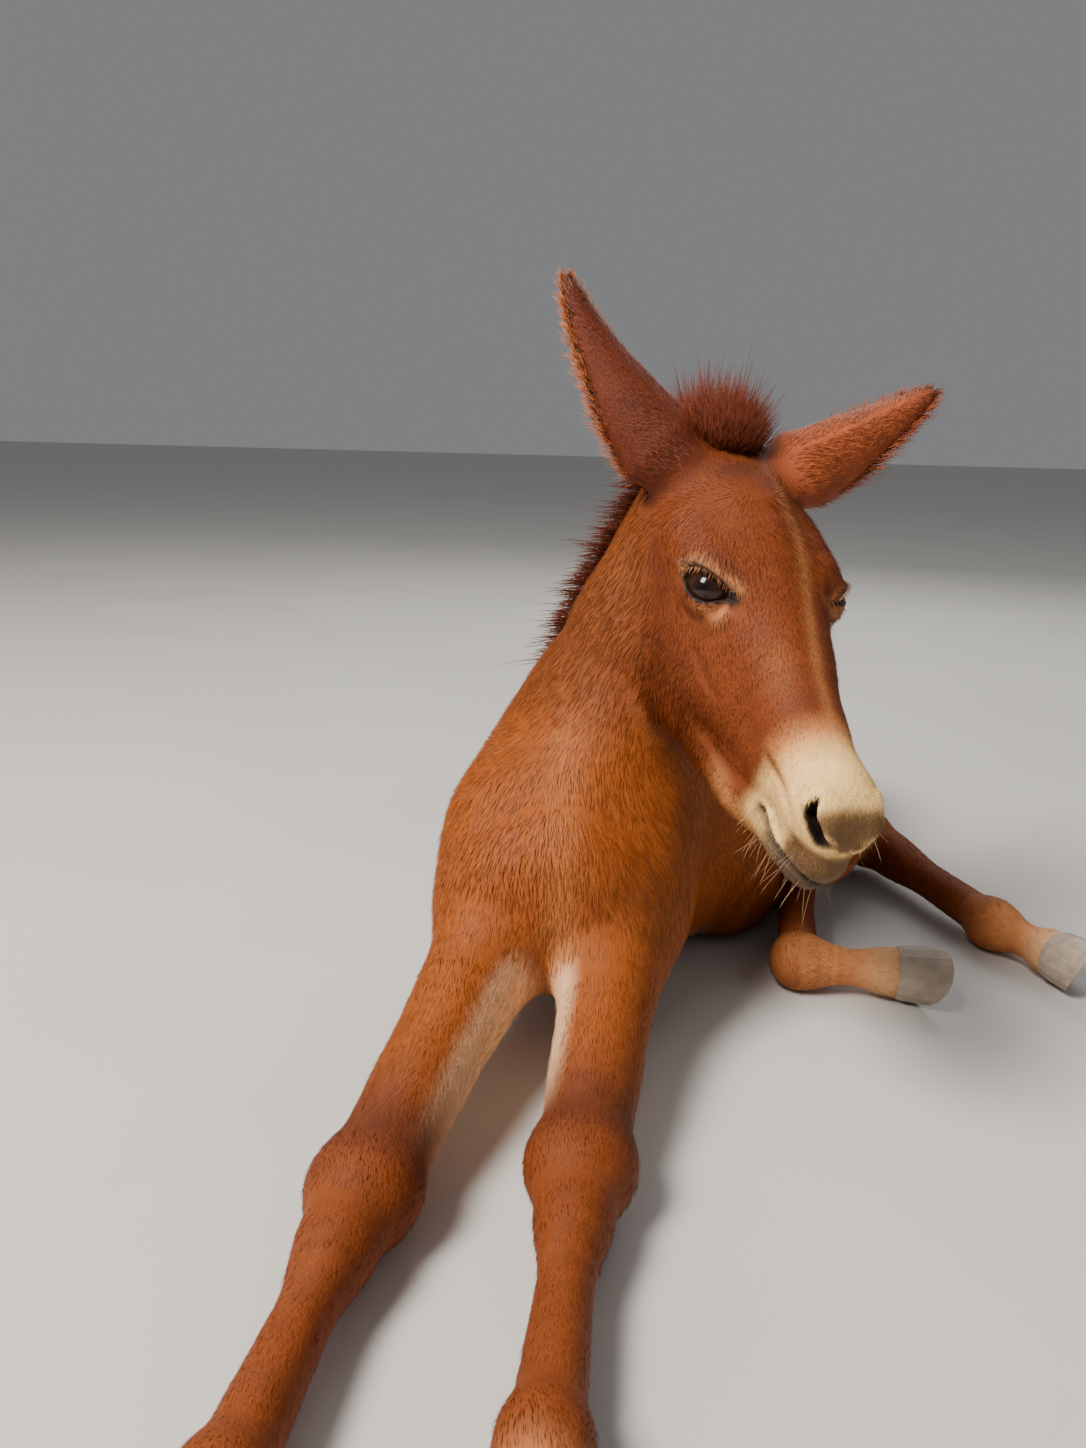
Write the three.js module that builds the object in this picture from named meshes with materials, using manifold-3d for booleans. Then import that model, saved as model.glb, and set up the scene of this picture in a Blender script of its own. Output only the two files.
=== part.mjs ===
// A mule foal lying on its chest with its head up, life size, as a still museum model.
// Millimetres, +Z up, the floor at Z = 0. The animal faces -Y, its own left side is towards +X.
// The fore legs lie stretched out forwards, the hind legs lie folded out on its left side.

import * as THREE from 'three';
import Module from 'manifold-3d';

const wasm = await Module();
wasm.setup();

// Driving dimensions.
const EYE_RADIUS = 19;
const EAR_WIDTH = 84;
const EAR_SKIN = 6;
const MANE_HEIGHT = 23;
const MANE_LOCKS = 30;
const TUFT_HEIGHT = 36;
const TUFT_LOCKS = 12;
const TAIL_LOCKS = 16;
const LID_WIDTH = 4.5;
const LID_DEPTH = 2.2;
const HOOF_LENGTH = 50;
const HOOF_TOP = 25;
const HOOF_SOLE = 30;
const GAP = 0.3;
const MERGE = 3;
const HEAD_FIT = 2.2;

// The head hangs from the poll: how far its face points down, how far it turns and leans to its left.
const POLL = [155, 915, 520];
const HEAD_PITCH = 38.5;
const HEAD_YAW = 12.4;
const HEAD_TILT = -6;

// Cell sizes of the faceted surfaces.
const TORSO_CELL = 34;
const NECK_CELL = 24;
const HEAD_CELL = 12.6;
const HEAD_FIT_CELL = 16;
const ARM_CELL = 29;
const THIGH_CELL = 35;

// Colours of the coat, mane, eyes and hooves.
const CHESTNUT = { color: 0x96512b, roughness: 0.85, metalness: 0 };
const DARK_HAIR = { color: 0x73382c, roughness: 0.9, metalness: 0 };
const EYE_BROWN = { color: 0x1c1210, roughness: 0.08, metalness: 0 };
const HOOF_GREY = { color: 0x8c857d, roughness: 0.6, metalness: 0 };

// Vector helpers.
const V = (p) => new THREE.Vector3(p[0], p[1], p[2]);
const radians = THREE.MathUtils.degToRad;
const FAR = 150;

function axesFromAngles(pitch, yaw, tilt) {
  const forward = new THREE.Vector3(
    Math.sin(radians(yaw)) * Math.cos(radians(pitch)),
    -Math.cos(radians(yaw)) * Math.cos(radians(pitch)),
    -Math.sin(radians(pitch)),
  );
  const level = new THREE.Vector3(Math.cos(radians(yaw)), Math.sin(radians(yaw)), 0);
  const dorsal = new THREE.Vector3().crossVectors(forward, level);
  const left = level.clone().multiplyScalar(Math.cos(radians(tilt)));
  left.addScaledVector(dorsal, Math.sin(radians(tilt)));
  return { forward, left, up: new THREE.Vector3().crossVectors(forward, left) };
}

const HEAD = { at: V(POLL), ...axesFromAngles(HEAD_PITCH, HEAD_YAW, HEAD_TILT) };

// A point of the head's own frame: x from the poll to the nose, y to the left, z out of the face.
function headPoint(x, y, z) {
  return HEAD.at.clone()
    .addScaledVector(HEAD.forward, x)
    .addScaledVector(HEAD.left, y)
    .addScaledVector(HEAD.up, z);
}

// Distance to an ellipsoid, exact enough near its surface, negative inside.
function blob(centre, radii) {
  const [cx, cy, cz] = centre;
  const [rx, ry, rz] = radii;
  const smallest = Math.min(rx, ry, rz);
  return (x, y, z) => {
    const u = (x - cx) / rx;
    const v = (y - cy) / ry;
    const w = (z - cz) / rz;
    const k0 = Math.hypot(u, v, w);
    const k1 = Math.hypot(u / rx, v / ry, w / rz);
    return k1 < 1e-9 ? -smallest : k0 * (k0 - 1) / k1;
  };
}

// Oval sections along a smooth line through the stations of a body part.
// Each station: place, half width, half depth and the direction of its depth.
function sections(stations, samples) {
  const curve = new THREE.CatmullRomCurve3(stations.map((s) => V(s.at)), false, 'centripetal');
  const spans = stations.length - 1;
  const rings = [];
  for (let i = 0; i <= spans * samples; i++) {
    const along = i / samples;
    const k = Math.min(Math.floor(along), spans - 1);
    const f = along - k;
    const s = f * f * (3 - 2 * f);
    const a = stations[k];
    const b = stations[k + 1];
    const axis = curve.getTangent(along / spans);
    const up = V(a.up).lerp(V(b.up), s);
    up.addScaledVector(axis, -up.dot(axis)).normalize();
    rings.push({
      at: curve.getPoint(along / spans),
      wide: a.wide + (b.wide - a.wide) * s,
      deep: a.deep + (b.deep - a.deep) * s,
      up,
      axis,
      side: new THREE.Vector3().crossVectors(axis, up),
    });
  }
  return rings;
}

// The same body part as a distance, negative inside.
function limb(stations, samples = 5) {
  const rings = sections(stations, samples);
  const box = new THREE.Box3();
  const pieces = rings.slice(1).map((to, i) => {
    const from = rings[i];
    const axis = to.at.clone().sub(from.at);
    const length = axis.length();
    axis.normalize();
    const up = from.up.clone().add(to.up);
    up.addScaledVector(axis, -up.dot(axis)).normalize();
    return { from, to, axis, length, up, side: new THREE.Vector3().crossVectors(axis, up) };
  });
  for (const r of rings) {
    box.expandByPoint(r.at.clone().addScalar(Math.max(r.wide, r.deep)));
    box.expandByPoint(r.at.clone().addScalar(-Math.max(r.wide, r.deep)));
  }
  const ball = box.getBoundingSphere(new THREE.Sphere());
  return (x, y, z) => {
    const far = Math.hypot(x - ball.center.x, y - ball.center.y, z - ball.center.z) - ball.radius;
    if (far > FAR) return far;
    let best = Infinity;
    for (const s of pieces) {
      const px = x - s.from.at.x;
      const py = y - s.from.at.y;
      const pz = z - s.from.at.z;
      const along = px * s.axis.x + py * s.axis.y + pz * s.axis.z;
      const t = Math.min(Math.max(along / s.length, 0), 1);
      const wide = s.from.wide + (s.to.wide - s.from.wide) * t;
      const deep = s.from.deep + (s.to.deep - s.from.deep) * t;
      const round = Math.min(wide, deep);
      const over = (along - t * s.length) / round;
      const u = (px * s.side.x + py * s.side.y + pz * s.side.z) / wide;
      const v = (px * s.up.x + py * s.up.y + pz * s.up.z) / deep;
      const k0 = Math.hypot(u, v, over);
      const k1 = Math.hypot(u / wide, v / deep, over / round);
      const d = k1 < 1e-9 ? -round : k0 * (k0 - 1) / k1;
      if (d < best) best = d;
    }
    return best;
  };
}

// The same body part as a closed mesh of few faces with rounded ends.
function tube(stations, sides, samples = 2) {
  const rings = sections(stations, samples);
  const cap = (ring, sign, over, scale) => ({
    ...ring,
    at: ring.at.clone().addScaledVector(ring.axis, sign * over * Math.min(ring.wide, ring.deep)),
    wide: ring.wide * scale,
    deep: ring.deep * scale,
  });
  const last = rings[rings.length - 1];
  const rows = [cap(rings[0], -1, 0.6, 0.75), ...rings, cap(last, 1, 0.6, 0.75)];
  const vertices = [];
  for (const row of rows) {
    for (let i = 0; i < sides; i++) {
      const turn = 2 * Math.PI * i / sides;
      const p = row.at.clone()
        .addScaledVector(row.side, Math.cos(turn) * row.wide)
        .addScaledVector(row.up, Math.sin(turn) * row.deep);
      vertices.push(p.x, p.y, p.z);
    }
  }
  const ends = [cap(rings[0], -1, 0.9, 1).at, cap(last, 1, 0.9, 1).at];
  const first = vertices.length / 3;
  for (const p of ends) vertices.push(p.x, p.y, p.z);
  const triangles = [];
  for (let i = 0; i < sides; i++) {
    const j = (i + 1) % sides;
    for (let r = 0; r < rows.length - 1; r++) {
      const a = r * sides;
      const b = a + sides;
      triangles.push(a + i, b + j, a + j, a + i, b + i, b + j);
    }
    const top = (rows.length - 1) * sides;
    triangles.push(first, i, j, first + 1, top + j, top + i);
  }
  return solidOf(vertices, triangles);
}

// A flat, tapered lock of hair along four points: its root is sunk, its tip a point.
const LOCK_ROWS = [[0.75, 1], [1, 1], [0.6, 0.7]];
function lock(points, broad, wide, deep) {
  const line = points.map(V);
  const vertices = [];
  LOCK_ROWS.forEach(([across, through], i) => {
    const axis = line[i + 1].clone().sub(line[Math.max(i - 1, 0)]).normalize();
    const side = V(broad).addScaledVector(axis, -V(broad).dot(axis)).normalize();
    const thin = new THREE.Vector3().crossVectors(axis, side);
    for (const [a, b] of [[1, 0], [0, 1], [-1, 0], [0, -1]]) {
      const p = line[i].clone().addScaledVector(side, a * wide * across)
        .addScaledVector(thin, b * deep * through);
      vertices.push(p.x, p.y, p.z);
    }
  });
  vertices.push(...points[3]);
  const triangles = [0, 2, 1, 0, 3, 2];
  for (let i = 0; i < 4; i++) {
    const j = (i + 1) % 4;
    for (const row of [0, 4]) {
      triangles.push(row + i, row + j, row + 4 + j);
      triangles.push(row + i, row + 4 + j, row + 4 + i);
    }
    triangles.push(8 + i, 8 + j, 12);
  }
  return solidOf(vertices, triangles);
}

// A seeded number from -1 to 1, so that the locks vary in the same way each time.
let seed = 7;
function vary() {
  seed = (seed * 16807) % 2147483647;
  return 2 * seed / 2147483647 - 1;
}

// Two surfaces joined with a soft fillet of the given width.
function join(soft, ...fields) {
  return (x, y, z) => {
    let d = fields[0](x, y, z);
    for (let i = 1; i < fields.length; i++) {
      const e = fields[i](x, y, z);
      const h = Math.max(soft - Math.abs(d - e), 0) / soft;
      d = Math.min(d, e) - h * h * soft / 4;
    }
    return d;
  };
}

// A form with another hollowed out of it, with a soft edge.
function hollow(soft, field, tool) {
  return (x, y, z) => {
    const d = field(x, y, z);
    const e = -tool(x, y, z);
    const h = Math.max(soft - Math.abs(d - e), 0) / soft;
    return Math.max(d, e) + h * h * soft / 4;
  };
}

// A form drawn in a frame of its own, such as the head's.
function placed(frame, field) {
  const { at, forward, left, up } = frame;
  return (x, y, z) => {
    const px = x - at.x;
    const py = y - at.y;
    const pz = z - at.z;
    return field(
      px * forward.x + py * forward.y + pz * forward.z,
      px * left.x + py * left.y + pz * left.z,
      px * up.x + py * up.y + pz * up.z,
    );
  };
}

// The trunk: shoulders upright on the floor, the pelvis rolled over to the animal's right.
function trunkForm() {
  const stations = [
    { at: [24, 872, 146], wide: 78, deep: 92, up: [0, 0, 1] },
    { at: [34, 925, 144], wide: 102, deep: 130, up: [0, 0, 1] },
    { at: [62, 1000, 143], wide: 112, deep: 149, up: [0, 0, 1] },
    { at: [118, 1095, 140], wide: 128, deep: 146, up: [-0.05, 0, 1] },
    { at: [178, 1195, 140], wide: 132, deep: 136, up: [-0.15, 0, 1] },
    { at: [236, 1290, 136], wide: 118, deep: 128, up: [-0.3, 0, 1] },
    { at: [285, 1380, 130], wide: 112, deep: 122, up: [-0.4, 0, 1] },
    { at: [318, 1450, 112], wide: 86, deep: 92, up: [-0.4, 0, 1] },
  ];
  const withers = limb([
    { at: [48, 1010, 235], wide: 40, deep: 60, up: [0, 0, 1] },
    { at: [82, 1080, 250], wide: 36, deep: 50, up: [0, 0, 1] },
    { at: [135, 1170, 228], wide: 34, deep: 40, up: [0, 0, 1] },
  ]);
  const shoulderRight = limb([
    { at: [2, 1015, 232], wide: 28, deep: 48, up: [0, 1, 0] },
    { at: [-46, 930, 182], wide: 36, deep: 56, up: [0, 1, 0] },
    { at: [-46, 884, 128], wide: 44, deep: 54, up: [0, 1, 0] },
  ]);
  const shoulderLeft = limb([
    { at: [96, 1000, 232], wide: 28, deep: 48, up: [0, 1, 0] },
    { at: [94, 925, 178], wide: 36, deep: 56, up: [0, 1, 0] },
    { at: [82, 890, 128], wide: 44, deep: 54, up: [0, 1, 0] },
  ]);
  const breastRight = blob([-18, 856, 128], [46, 42, 58]);
  const breastLeft = blob([58, 860, 126], [44, 40, 56]);
  const haunch = limb([
    { at: [215, 1400, 112], wide: 62, deep: 84, up: [0, 0, 1] },
    { at: [150, 1315, 88], wide: 62, deep: 86, up: [0, 0, 1] },
    { at: [104, 1225, 60], wide: 44, deep: 58, up: [0, 0, 1] },
  ]);
  const hip = blob([176, 1262, 214], [34, 46, 26]);
  const buttock = blob([252, 1462, 122], [50, 40, 46]);
  const breast = join(14, breastRight, breastLeft);
  const fore = join(50, limb(stations), withers, shoulderRight, shoulderLeft, breast);
  return join(26, fore, haunch, hip, buttock);
}

// The neck rises from between the shoulders and turns to the animal's left towards the poll.
const NECK = [
  { at: [52, 1004, 200], wide: 78, deep: 112, up: [0.0, 0.75, 0.6] },
  { at: [52, 969, 272], wide: 58, deep: 80, up: [-0.35, 0.8, 0.5] },
  { at: [70, 947, 344], wide: 48, deep: 62, up: [-0.55, 0.75, 0.4] },
  { at: [101, 939, 413], wide: 44, deep: 56, up: [-0.55, 0.7, 0.45] },
  { at: [132, 938, 474], wide: 43, deep: 54, up: [-0.4, 0.6, 0.7] },
];

// The mane stands up along the crest of the neck, from the withers to the tuft on the poll.
function crest(sink) {
  const along = NECK.slice(1).map((s) => ({
    at: V(s.at).addScaledVector(V(s.up).normalize(), s.deep - sink).toArray(), up: s.up,
  }));
  const poll = { at: headPoint(-6, 0, -4 - sink).toArray(), up: HEAD.up.toArray() };
  return [{ at: [66, 1060, 290 - sink], up: [0.1, 0.4, 0.9] }, ...along, poll];
}

// The head in its own frame, x from the poll to the nose, y to the left, z out of the face.
const FACE_UP = [0, 0, 1];
const pair = (soft, centre, radii) => join(
  soft, blob(centre, radii), blob([centre[0], -centre[1], centre[2]], radii),
);

const EYE = [135, 46, -37];
function headShape() {
  const cranium = blob([46, 0, -54], [64, 58, 54]);
  const forehead = blob([104, 0, -54], [82, 60, 51]);
  const brow = pair(10, [127, 45, -33], [36, 23, 25]);
  const temples = pair(16, [82, 46, -50], [46, 25, 34]);
  const sockets = pair(4, [EYE[0] + 9, EYE[1] + 6, EYE[2] + 9], [21, 15, 16]);
  const bridge = limb([
    { at: [110, 0, -38], wide: 46, deep: 36, up: FACE_UP },
    { at: [190, 0, -41], wide: 40, deep: 30, up: FACE_UP },
    { at: [260, 0, -45], wide: 29, deep: 26, up: FACE_UP },
    { at: [315, 0, -43], wide: 22, deep: 24, up: FACE_UP },
  ]);
  const cheeks = limb([
    { at: [110, 0, -84], wide: 57, deep: 56, up: FACE_UP },
    { at: [180, 0, -84], wide: 51, deep: 60, up: FACE_UP },
    { at: [250, 0, -74], wide: 34, deep: 48, up: FACE_UP },
    { at: [310, 0, -62], wide: 25, deep: 30, up: FACE_UP },
  ]);
  const jowls = pair(16, [114, 38, -117], [82, 25, 64]);
  const jaw = limb([
    { at: [78, 0, -140], wide: 42, deep: 34, up: FACE_UP },
    { at: [165, 0, -146], wide: 45, deep: 34, up: FACE_UP },
    { at: [245, 0, -132], wide: 35, deep: 29, up: FACE_UP },
    { at: [312, 0, -106], wide: 21, deep: 18, up: FACE_UP },
  ]);
  const muzzle = blob([320, 0, -52], [36, 27, 33]);
  const wings = pair(10, [334, 15, -44], [21, 12, 20]);
  const upperLip = blob([340, 0, -78], [24, 22, 19]);
  const lowerLip = blob([330, 0, -101], [28, 18, 15]);
  return hollow(10, join(
    18, join(30, cranium, forehead, cheeks), brow, temples, bridge, jowls, jaw,
    join(12, muzzle, wings, upperLip), lowerLip,
  ), sockets);
}

// The way that each eye looks and the line from its outer to its inner corner, for the right eye.
const GAZE = V([0.52, -0.66, 0.52]).normalize();
const CANTHUS = V([0.7, 0.69, 0.18]).addScaledVector(GAZE, -V([0.7, 0.69, 0.18]).dot(GAZE)).normalize();
const LID_RISE = new THREE.Vector3().crossVectors(GAZE, CANTHUS);
const mirrored = (v, side) => headPoint(v.x, side === 'left' ? -v.y : v.y, v.z);

// One lid: a fold that follows the edge of the eye's opening from corner to corner.
function lid(side, height) {
  const centre = V([EYE[0], -EYE[1], EYE[2]]);
  return tube([-1, -0.6, 0, 0.6, 1].map((s) => {
    const along = 0.88 * s;
    const rise = height * Math.sqrt(1 - 0.96 * s * s);
    const ahead = Math.sqrt(Math.max(1 - along * along - rise * rise, 0.02));
    const out = GAZE.clone().multiplyScalar(ahead).addScaledVector(CANTHUS, along)
      .addScaledVector(LID_RISE, rise).normalize();
    const at = centre.clone().addScaledVector(out, EYE_RADIUS + 1.6);
    const up = mirrored(at.clone().add(out), side).sub(mirrored(at, side));
    return { at: mirrored(at, side).toArray(), wide: LID_WIDTH, deep: LID_DEPTH, up: up.toArray() };
  }), 5, 1);
}

// The nostril, a comma cut into the muzzle, and the line of the mouth, both for the left side.
const NOSTRIL = [[333, 24, -29], [339, 26, -38], [348, 21, -42], [355, 13, -48]];
const MOUTH = [[298, 25, -95], [320, 24, -94], [342, 22, -90], [357, 12, -89], [363, 0, -89]];
function carve(line, side, wide, deep, up) {
  return tube(line.map(([x, y, z]) => {
    const out = headPoint(up[0], side * up[1], up[2]).sub(HEAD.at).toArray();
    return { at: headPoint(x, side * y, z).toArray(), wide, deep, up: out };
  }), 4, 1);
}

const trunk = trunkForm();
const neck = limb(NECK);
const head = placed(HEAD, headShape());
const chest = join(60, trunk, neck);

// Leg forms. The half widths and depths are those of a foal of this size.
const FORE_SIZES = {
  elbow: [52, 60], arm: [46, 54], forearm: [38, 41], aboveKnee: [35, 36], knee: [39, 36],
  belowKnee: [30, 31], cannon: [20, 22], aboveFetlock: [22, 24], fetlock: [26, 29],
  pastern: [20.5, 21], coronet: [26, 27],
};
const HIND_SIZES = {
  hip: [74, 96], thigh: [60, 88], stifle: [46, 60], gaskin: [34, 42], aboveHock: [28, 34],
  hock: [31, 37], belowHock: [27, 31], cannon: [21, 23], aboveFetlock: [22, 24], fetlock: [27, 28],
  pastern: [20, 21], coronet: [26, 27],
};

function station(at, size, up) {
  return { at, wide: size[0], deep: size[1], up };
}

function between(a, b, t) {
  return a.map((value, i) => value + (b[i] - value) * t);
}

function foreUpper(leg) {
  const s = FORE_SIZES;
  return [
    station(between(leg.elbow, leg.knee, -0.12), s.elbow, leg.front),
    station(between(leg.elbow, leg.knee, 0.15), s.arm, leg.front),
    station(between(leg.elbow, leg.knee, 0.6), s.forearm, leg.front),
    station(between(leg.elbow, leg.knee, 0.86), s.aboveKnee, leg.front),
    station(leg.knee, s.knee, leg.front),
  ];
}

function foreLower(leg) {
  const s = FORE_SIZES;
  return [
    station(between(leg.elbow, leg.knee, 0.84), s.aboveKnee, leg.front),
    station(leg.knee, s.knee, leg.front),
    station(between(leg.knee, leg.fetlock, 0.2), s.belowKnee, leg.front),
    station(between(leg.knee, leg.fetlock, 0.5), s.cannon, leg.front),
    station(between(leg.knee, leg.fetlock, 0.85), s.aboveFetlock, leg.front),
    station(leg.fetlock, s.fetlock, leg.front),
  ];
}

function hindUpper(leg) {
  const s = HIND_SIZES;
  return [
    station(leg.hip, s.hip, leg.front),
    station(between(leg.hip, leg.stifle, 0.5), s.thigh, leg.front),
    station(leg.stifle, s.stifle, leg.front),
  ];
}

function hindGaskin(leg) {
  const s = HIND_SIZES;
  return [
    station(leg.stifle, s.stifle, leg.front),
    station(between(leg.stifle, leg.hock, 0.45), s.gaskin, leg.front),
    station(between(leg.stifle, leg.hock, 0.8), s.aboveHock, leg.front),
    station(leg.hock, s.hock, leg.front),
  ];
}

function hindLower(leg) {
  const s = HIND_SIZES;
  return [
    station(leg.hock, s.hock, leg.front),
    station(between(leg.hock, leg.fetlock, 0.22), s.belowHock, leg.front),
    station(between(leg.hock, leg.fetlock, 0.55), s.cannon, leg.front),
    station(between(leg.hock, leg.fetlock, 0.86), s.aboveFetlock, leg.front),
    station(leg.fetlock, s.fetlock, leg.front),
  ];
}

function pasternStations(leg, s) {
  return [
    station(leg.fetlock, s.fetlock, leg.toeUp),
    station(between(leg.fetlock, leg.coronet, 0.55), s.pastern, leg.toeUp),
    station(leg.coronet, s.coronet, leg.toeUp),
    station(between(leg.fetlock, leg.coronet, 1.3), s.coronet, leg.toeUp),
  ];
}

const FORE_LEGS = {
  right: {
    elbow: [-32, 872, 98], knee: [-110, 608, 35], fetlock: [-146, 398, 27], coronet: [-160, 322, 26],
    front: [0, 0, 1], toeUp: [0, 0, 1],
  },
  left: {
    elbow: [72, 884, 98], knee: [34, 637, 35], fetlock: [10, 428, 27], coronet: [2, 351, 26],
    front: [0, 0, 1], toeUp: [0, 0, 1],
  },
};
const HIND_LEGS = {
  right: {
    hip: [240, 1340, 100], stifle: [205, 1080, 66], hock: [300, 1190, 38], fetlock: [258, 966, 26],
    coronet: [348, 948, 26], front: [0, 0, 1], toeUp: [-0.1, -0.75, 0.65],
  },
  left: {
    hip: [292, 1325, 150], stifle: [300, 1100, 116], hock: [410, 1275, 42], fetlock: [488, 1064, 26],
    coronet: [524, 994, 26], front: [0, 0, 1], toeUp: [-0.6, -0.3, 0.7],
  },
};

// The corners and edges of one cell of the grid. An edge is its lower corner and its direction.
const CORNERS = [0, 1, 2, 3, 4, 5, 6, 7].map((c) => [c & 1, (c >> 1) & 1, (c >> 2) & 1]);
const EDGES = [];
for (let corner = 0; corner < 8; corner++) {
  for (let axis = 0; axis < 3; axis++) {
    if (CORNERS[corner][axis] === 0) EDGES.push({ a: corner, b: corner | (1 << axis), axis });
  }
}
const FACES = [];
for (let axis = 0; axis < 3; axis++) {
  for (let side = 0; side < 2; side++) {
    FACES.push(EDGES.map((e, i) => i).filter((i) => CORNERS[EDGES[i].a][axis] === side
      && CORNERS[EDGES[i].b][axis] === side));
  }
}

// The crossed edges of a cell, in one list for each sheet of the surface that passes through it.
function sheets(inside) {
  const crossed = EDGES.map((e) => inside[e.a] !== inside[e.b]);
  const parent = EDGES.map((e, i) => i);
  const root = (i) => (parent[i] === i ? i : root(parent[i]));
  for (const face of FACES) {
    const cut = face.filter((i) => crossed[i]);
    if (cut.length === 2) parent[root(cut[0])] = root(cut[1]);
    if (cut.length < 4) continue;
    for (const i of cut) {
      for (const j of cut) {
        const shared = [EDGES[i].a, EDGES[i].b].find((c) => c === EDGES[j].a || c === EDGES[j].b);
        if (i < j && shared !== undefined && inside[shared]) parent[root(i)] = root(j);
      }
    }
  }
  const lists = new Map();
  crossed.forEach((yes, i) => {
    if (!yes) return;
    if (!lists.has(root(i))) lists.set(root(i), []);
    lists.get(root(i)).push(i);
  });
  return [...lists.values()];
}

// A faceted closed surface round a form: one corner for each sheet in each cell that it crosses.
function facets(field, box, cell) {
  const low = box.min.toArray();
  const size = box.getSize(new THREE.Vector3()).toArray().map((length) => Math.ceil(length / cell) + 1);
  const stride = [1, size[0], size[0] * size[1]];
  const value = new Float64Array(size[0] * size[1] * size[2]);
  const eachPoint = (extent, visit) => {
    for (let k = 0; k < extent[2]; k++) {
      for (let j = 0; j < extent[1]; j++) {
        for (let i = 0; i < extent[0]; i++) visit([i, j, k], i + j * stride[1] + k * stride[2]);
      }
    }
  };
  eachPoint(size, (p, index) => {
    const onSide = p.some((n, m) => n === 0 || n === size[m] - 1);
    const d = field(...p.map((n, m) => low[m] + n * cell));
    value[index] = onSide ? Math.max(d, 0.01 * cell) : d;
  });
  const vertices = [];
  const ring = new Int32Array(value.length * 12).fill(-1);
  eachPoint(size.map((n) => n - 1), (p, index) => {
    const values = CORNERS.map((c) => value[index + c[0] + c[1] * stride[1] + c[2] * stride[2]]);
    const inside = values.map((v) => v < 0);
    if (inside.every((v) => v === inside[0])) return;
    for (const sheet of sheets(inside)) {
      const sum = [0, 0, 0];
      for (const i of sheet) {
        const { a, b, axis } = EDGES[i];
        const t = values[a] / (values[a] - values[b]);
        for (let m = 0; m < 3; m++) sum[m] += CORNERS[a][m] + (m === axis ? t : 0);
        const before = CORNERS[a][(axis + 1) % 3];
        const after = CORNERS[a][(axis + 2) % 3];
        const slot = before ? (after ? 0 : 3) : (after ? 1 : 2);
        const lower = index + CORNERS[a].reduce((n, bit, m) => n + bit * stride[m], 0);
        ring[12 * lower + 4 * axis + slot] = vertices.length / 3;
      }
      for (let m = 0; m < 3; m++) vertices.push(low[m] + (p[m] + sum[m] / sheet.length) * cell);
    }
  });
  settle(vertices, field, cell);
  const triangles = [];
  const far = (p, q) => Math.hypot(...[0, 1, 2].map((m) => vertices[3 * p + m] - vertices[3 * q + m]));
  for (let edge = 0; edge < value.length * 3; edge++) {
    const around = Array.from(ring.slice(4 * edge, 4 * edge + 4));
    if (around[0] < 0 || around[1] < 0 || around[2] < 0 || around[3] < 0) continue;
    if (value[Math.floor(edge / 3)] >= 0) around.reverse();
    const [a, b, c, d] = around;
    if (far(a, c) < far(b, d)) triangles.push(a, b, c, a, c, d);
    else triangles.push(a, b, d, b, c, d);
  }
  return solidOf(vertices, triangles);
}

// Moves each corner along the form's slope until it lies on the surface.
function settle(vertices, field, cell) {
  const step = cell * 0.05;
  for (let i = 0; i < vertices.length; i += 3) {
    for (let round = 0; round < 3; round++) {
      const [x, y, z] = vertices.slice(i, i + 3);
      const d = field(x, y, z);
      const gx = (field(x + step, y, z) - d) / step;
      const gy = (field(x, y + step, z) - d) / step;
      const gz = (field(x, y, z + step) - d) / step;
      const slope = Math.max(gx * gx + gy * gy + gz * gz, 0.3);
      const move = THREE.MathUtils.clamp(d / slope, -cell * 0.3, cell * 0.3);
      vertices[i] -= gx * move;
      vertices[i + 1] -= gy * move;
      vertices[i + 2] -= gz * move;
    }
  }
}

// Closed meshes in and out of the solid library.
function solidOf(vertices, triangles) {
  return new wasm.Manifold(new wasm.Mesh({
    numProp: 3,
    vertProperties: Float32Array.from(vertices),
    triVerts: Uint32Array.from(triangles),
  }));
}

function solidFromGeometry(geometry, matrix) {
  const g = geometry.clone();
  if (matrix) g.applyMatrix4(matrix);
  const seen = new Map();
  const vertices = [];
  const position = g.attributes.position;
  const remap = [];
  for (let i = 0; i < position.count; i++) {
    const p = [position.getX(i), position.getY(i), position.getZ(i)];
    const key = p.map((v) => Math.round(v * 1e4)).join(',');
    if (!seen.has(key)) {
      seen.set(key, vertices.length / 3);
      vertices.push(...p);
    }
    remap.push(seen.get(key));
  }
  const order = g.index ? Array.from(g.index.array) : remap.map((_, i) => i);
  const triangles = [];
  for (let i = 0; i < order.length; i += 3) {
    const t = [remap[order[i]], remap[order[i + 1]], remap[order[i + 2]]];
    if (t[0] !== t[1] && t[1] !== t[2] && t[0] !== t[2]) triangles.push(...t);
  }
  return solidOf(vertices, triangles);
}

function largest(solid) {
  return solid.decompose().sort((a, b) => b.volume() - a.volume())[0];
}

// A solid swelled by the gap all round, to cut the room that it needs out of its neighbours.
function room(solid, by = GAP * 1.3) {
  const mesh = solid.getMesh();
  const geometry = new THREE.BufferGeometry();
  geometry.setAttribute('position', new THREE.BufferAttribute(Float32Array.from(mesh.vertProperties), 3));
  geometry.setIndex(new THREE.BufferAttribute(Uint32Array.from(mesh.triVerts), 1));
  geometry.computeVertexNormals();
  const normal = geometry.attributes.normal.array;
  return solidOf(mesh.vertProperties.map((v, i) => v + normal[i] * by), mesh.triVerts).add(solid);
}

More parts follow.
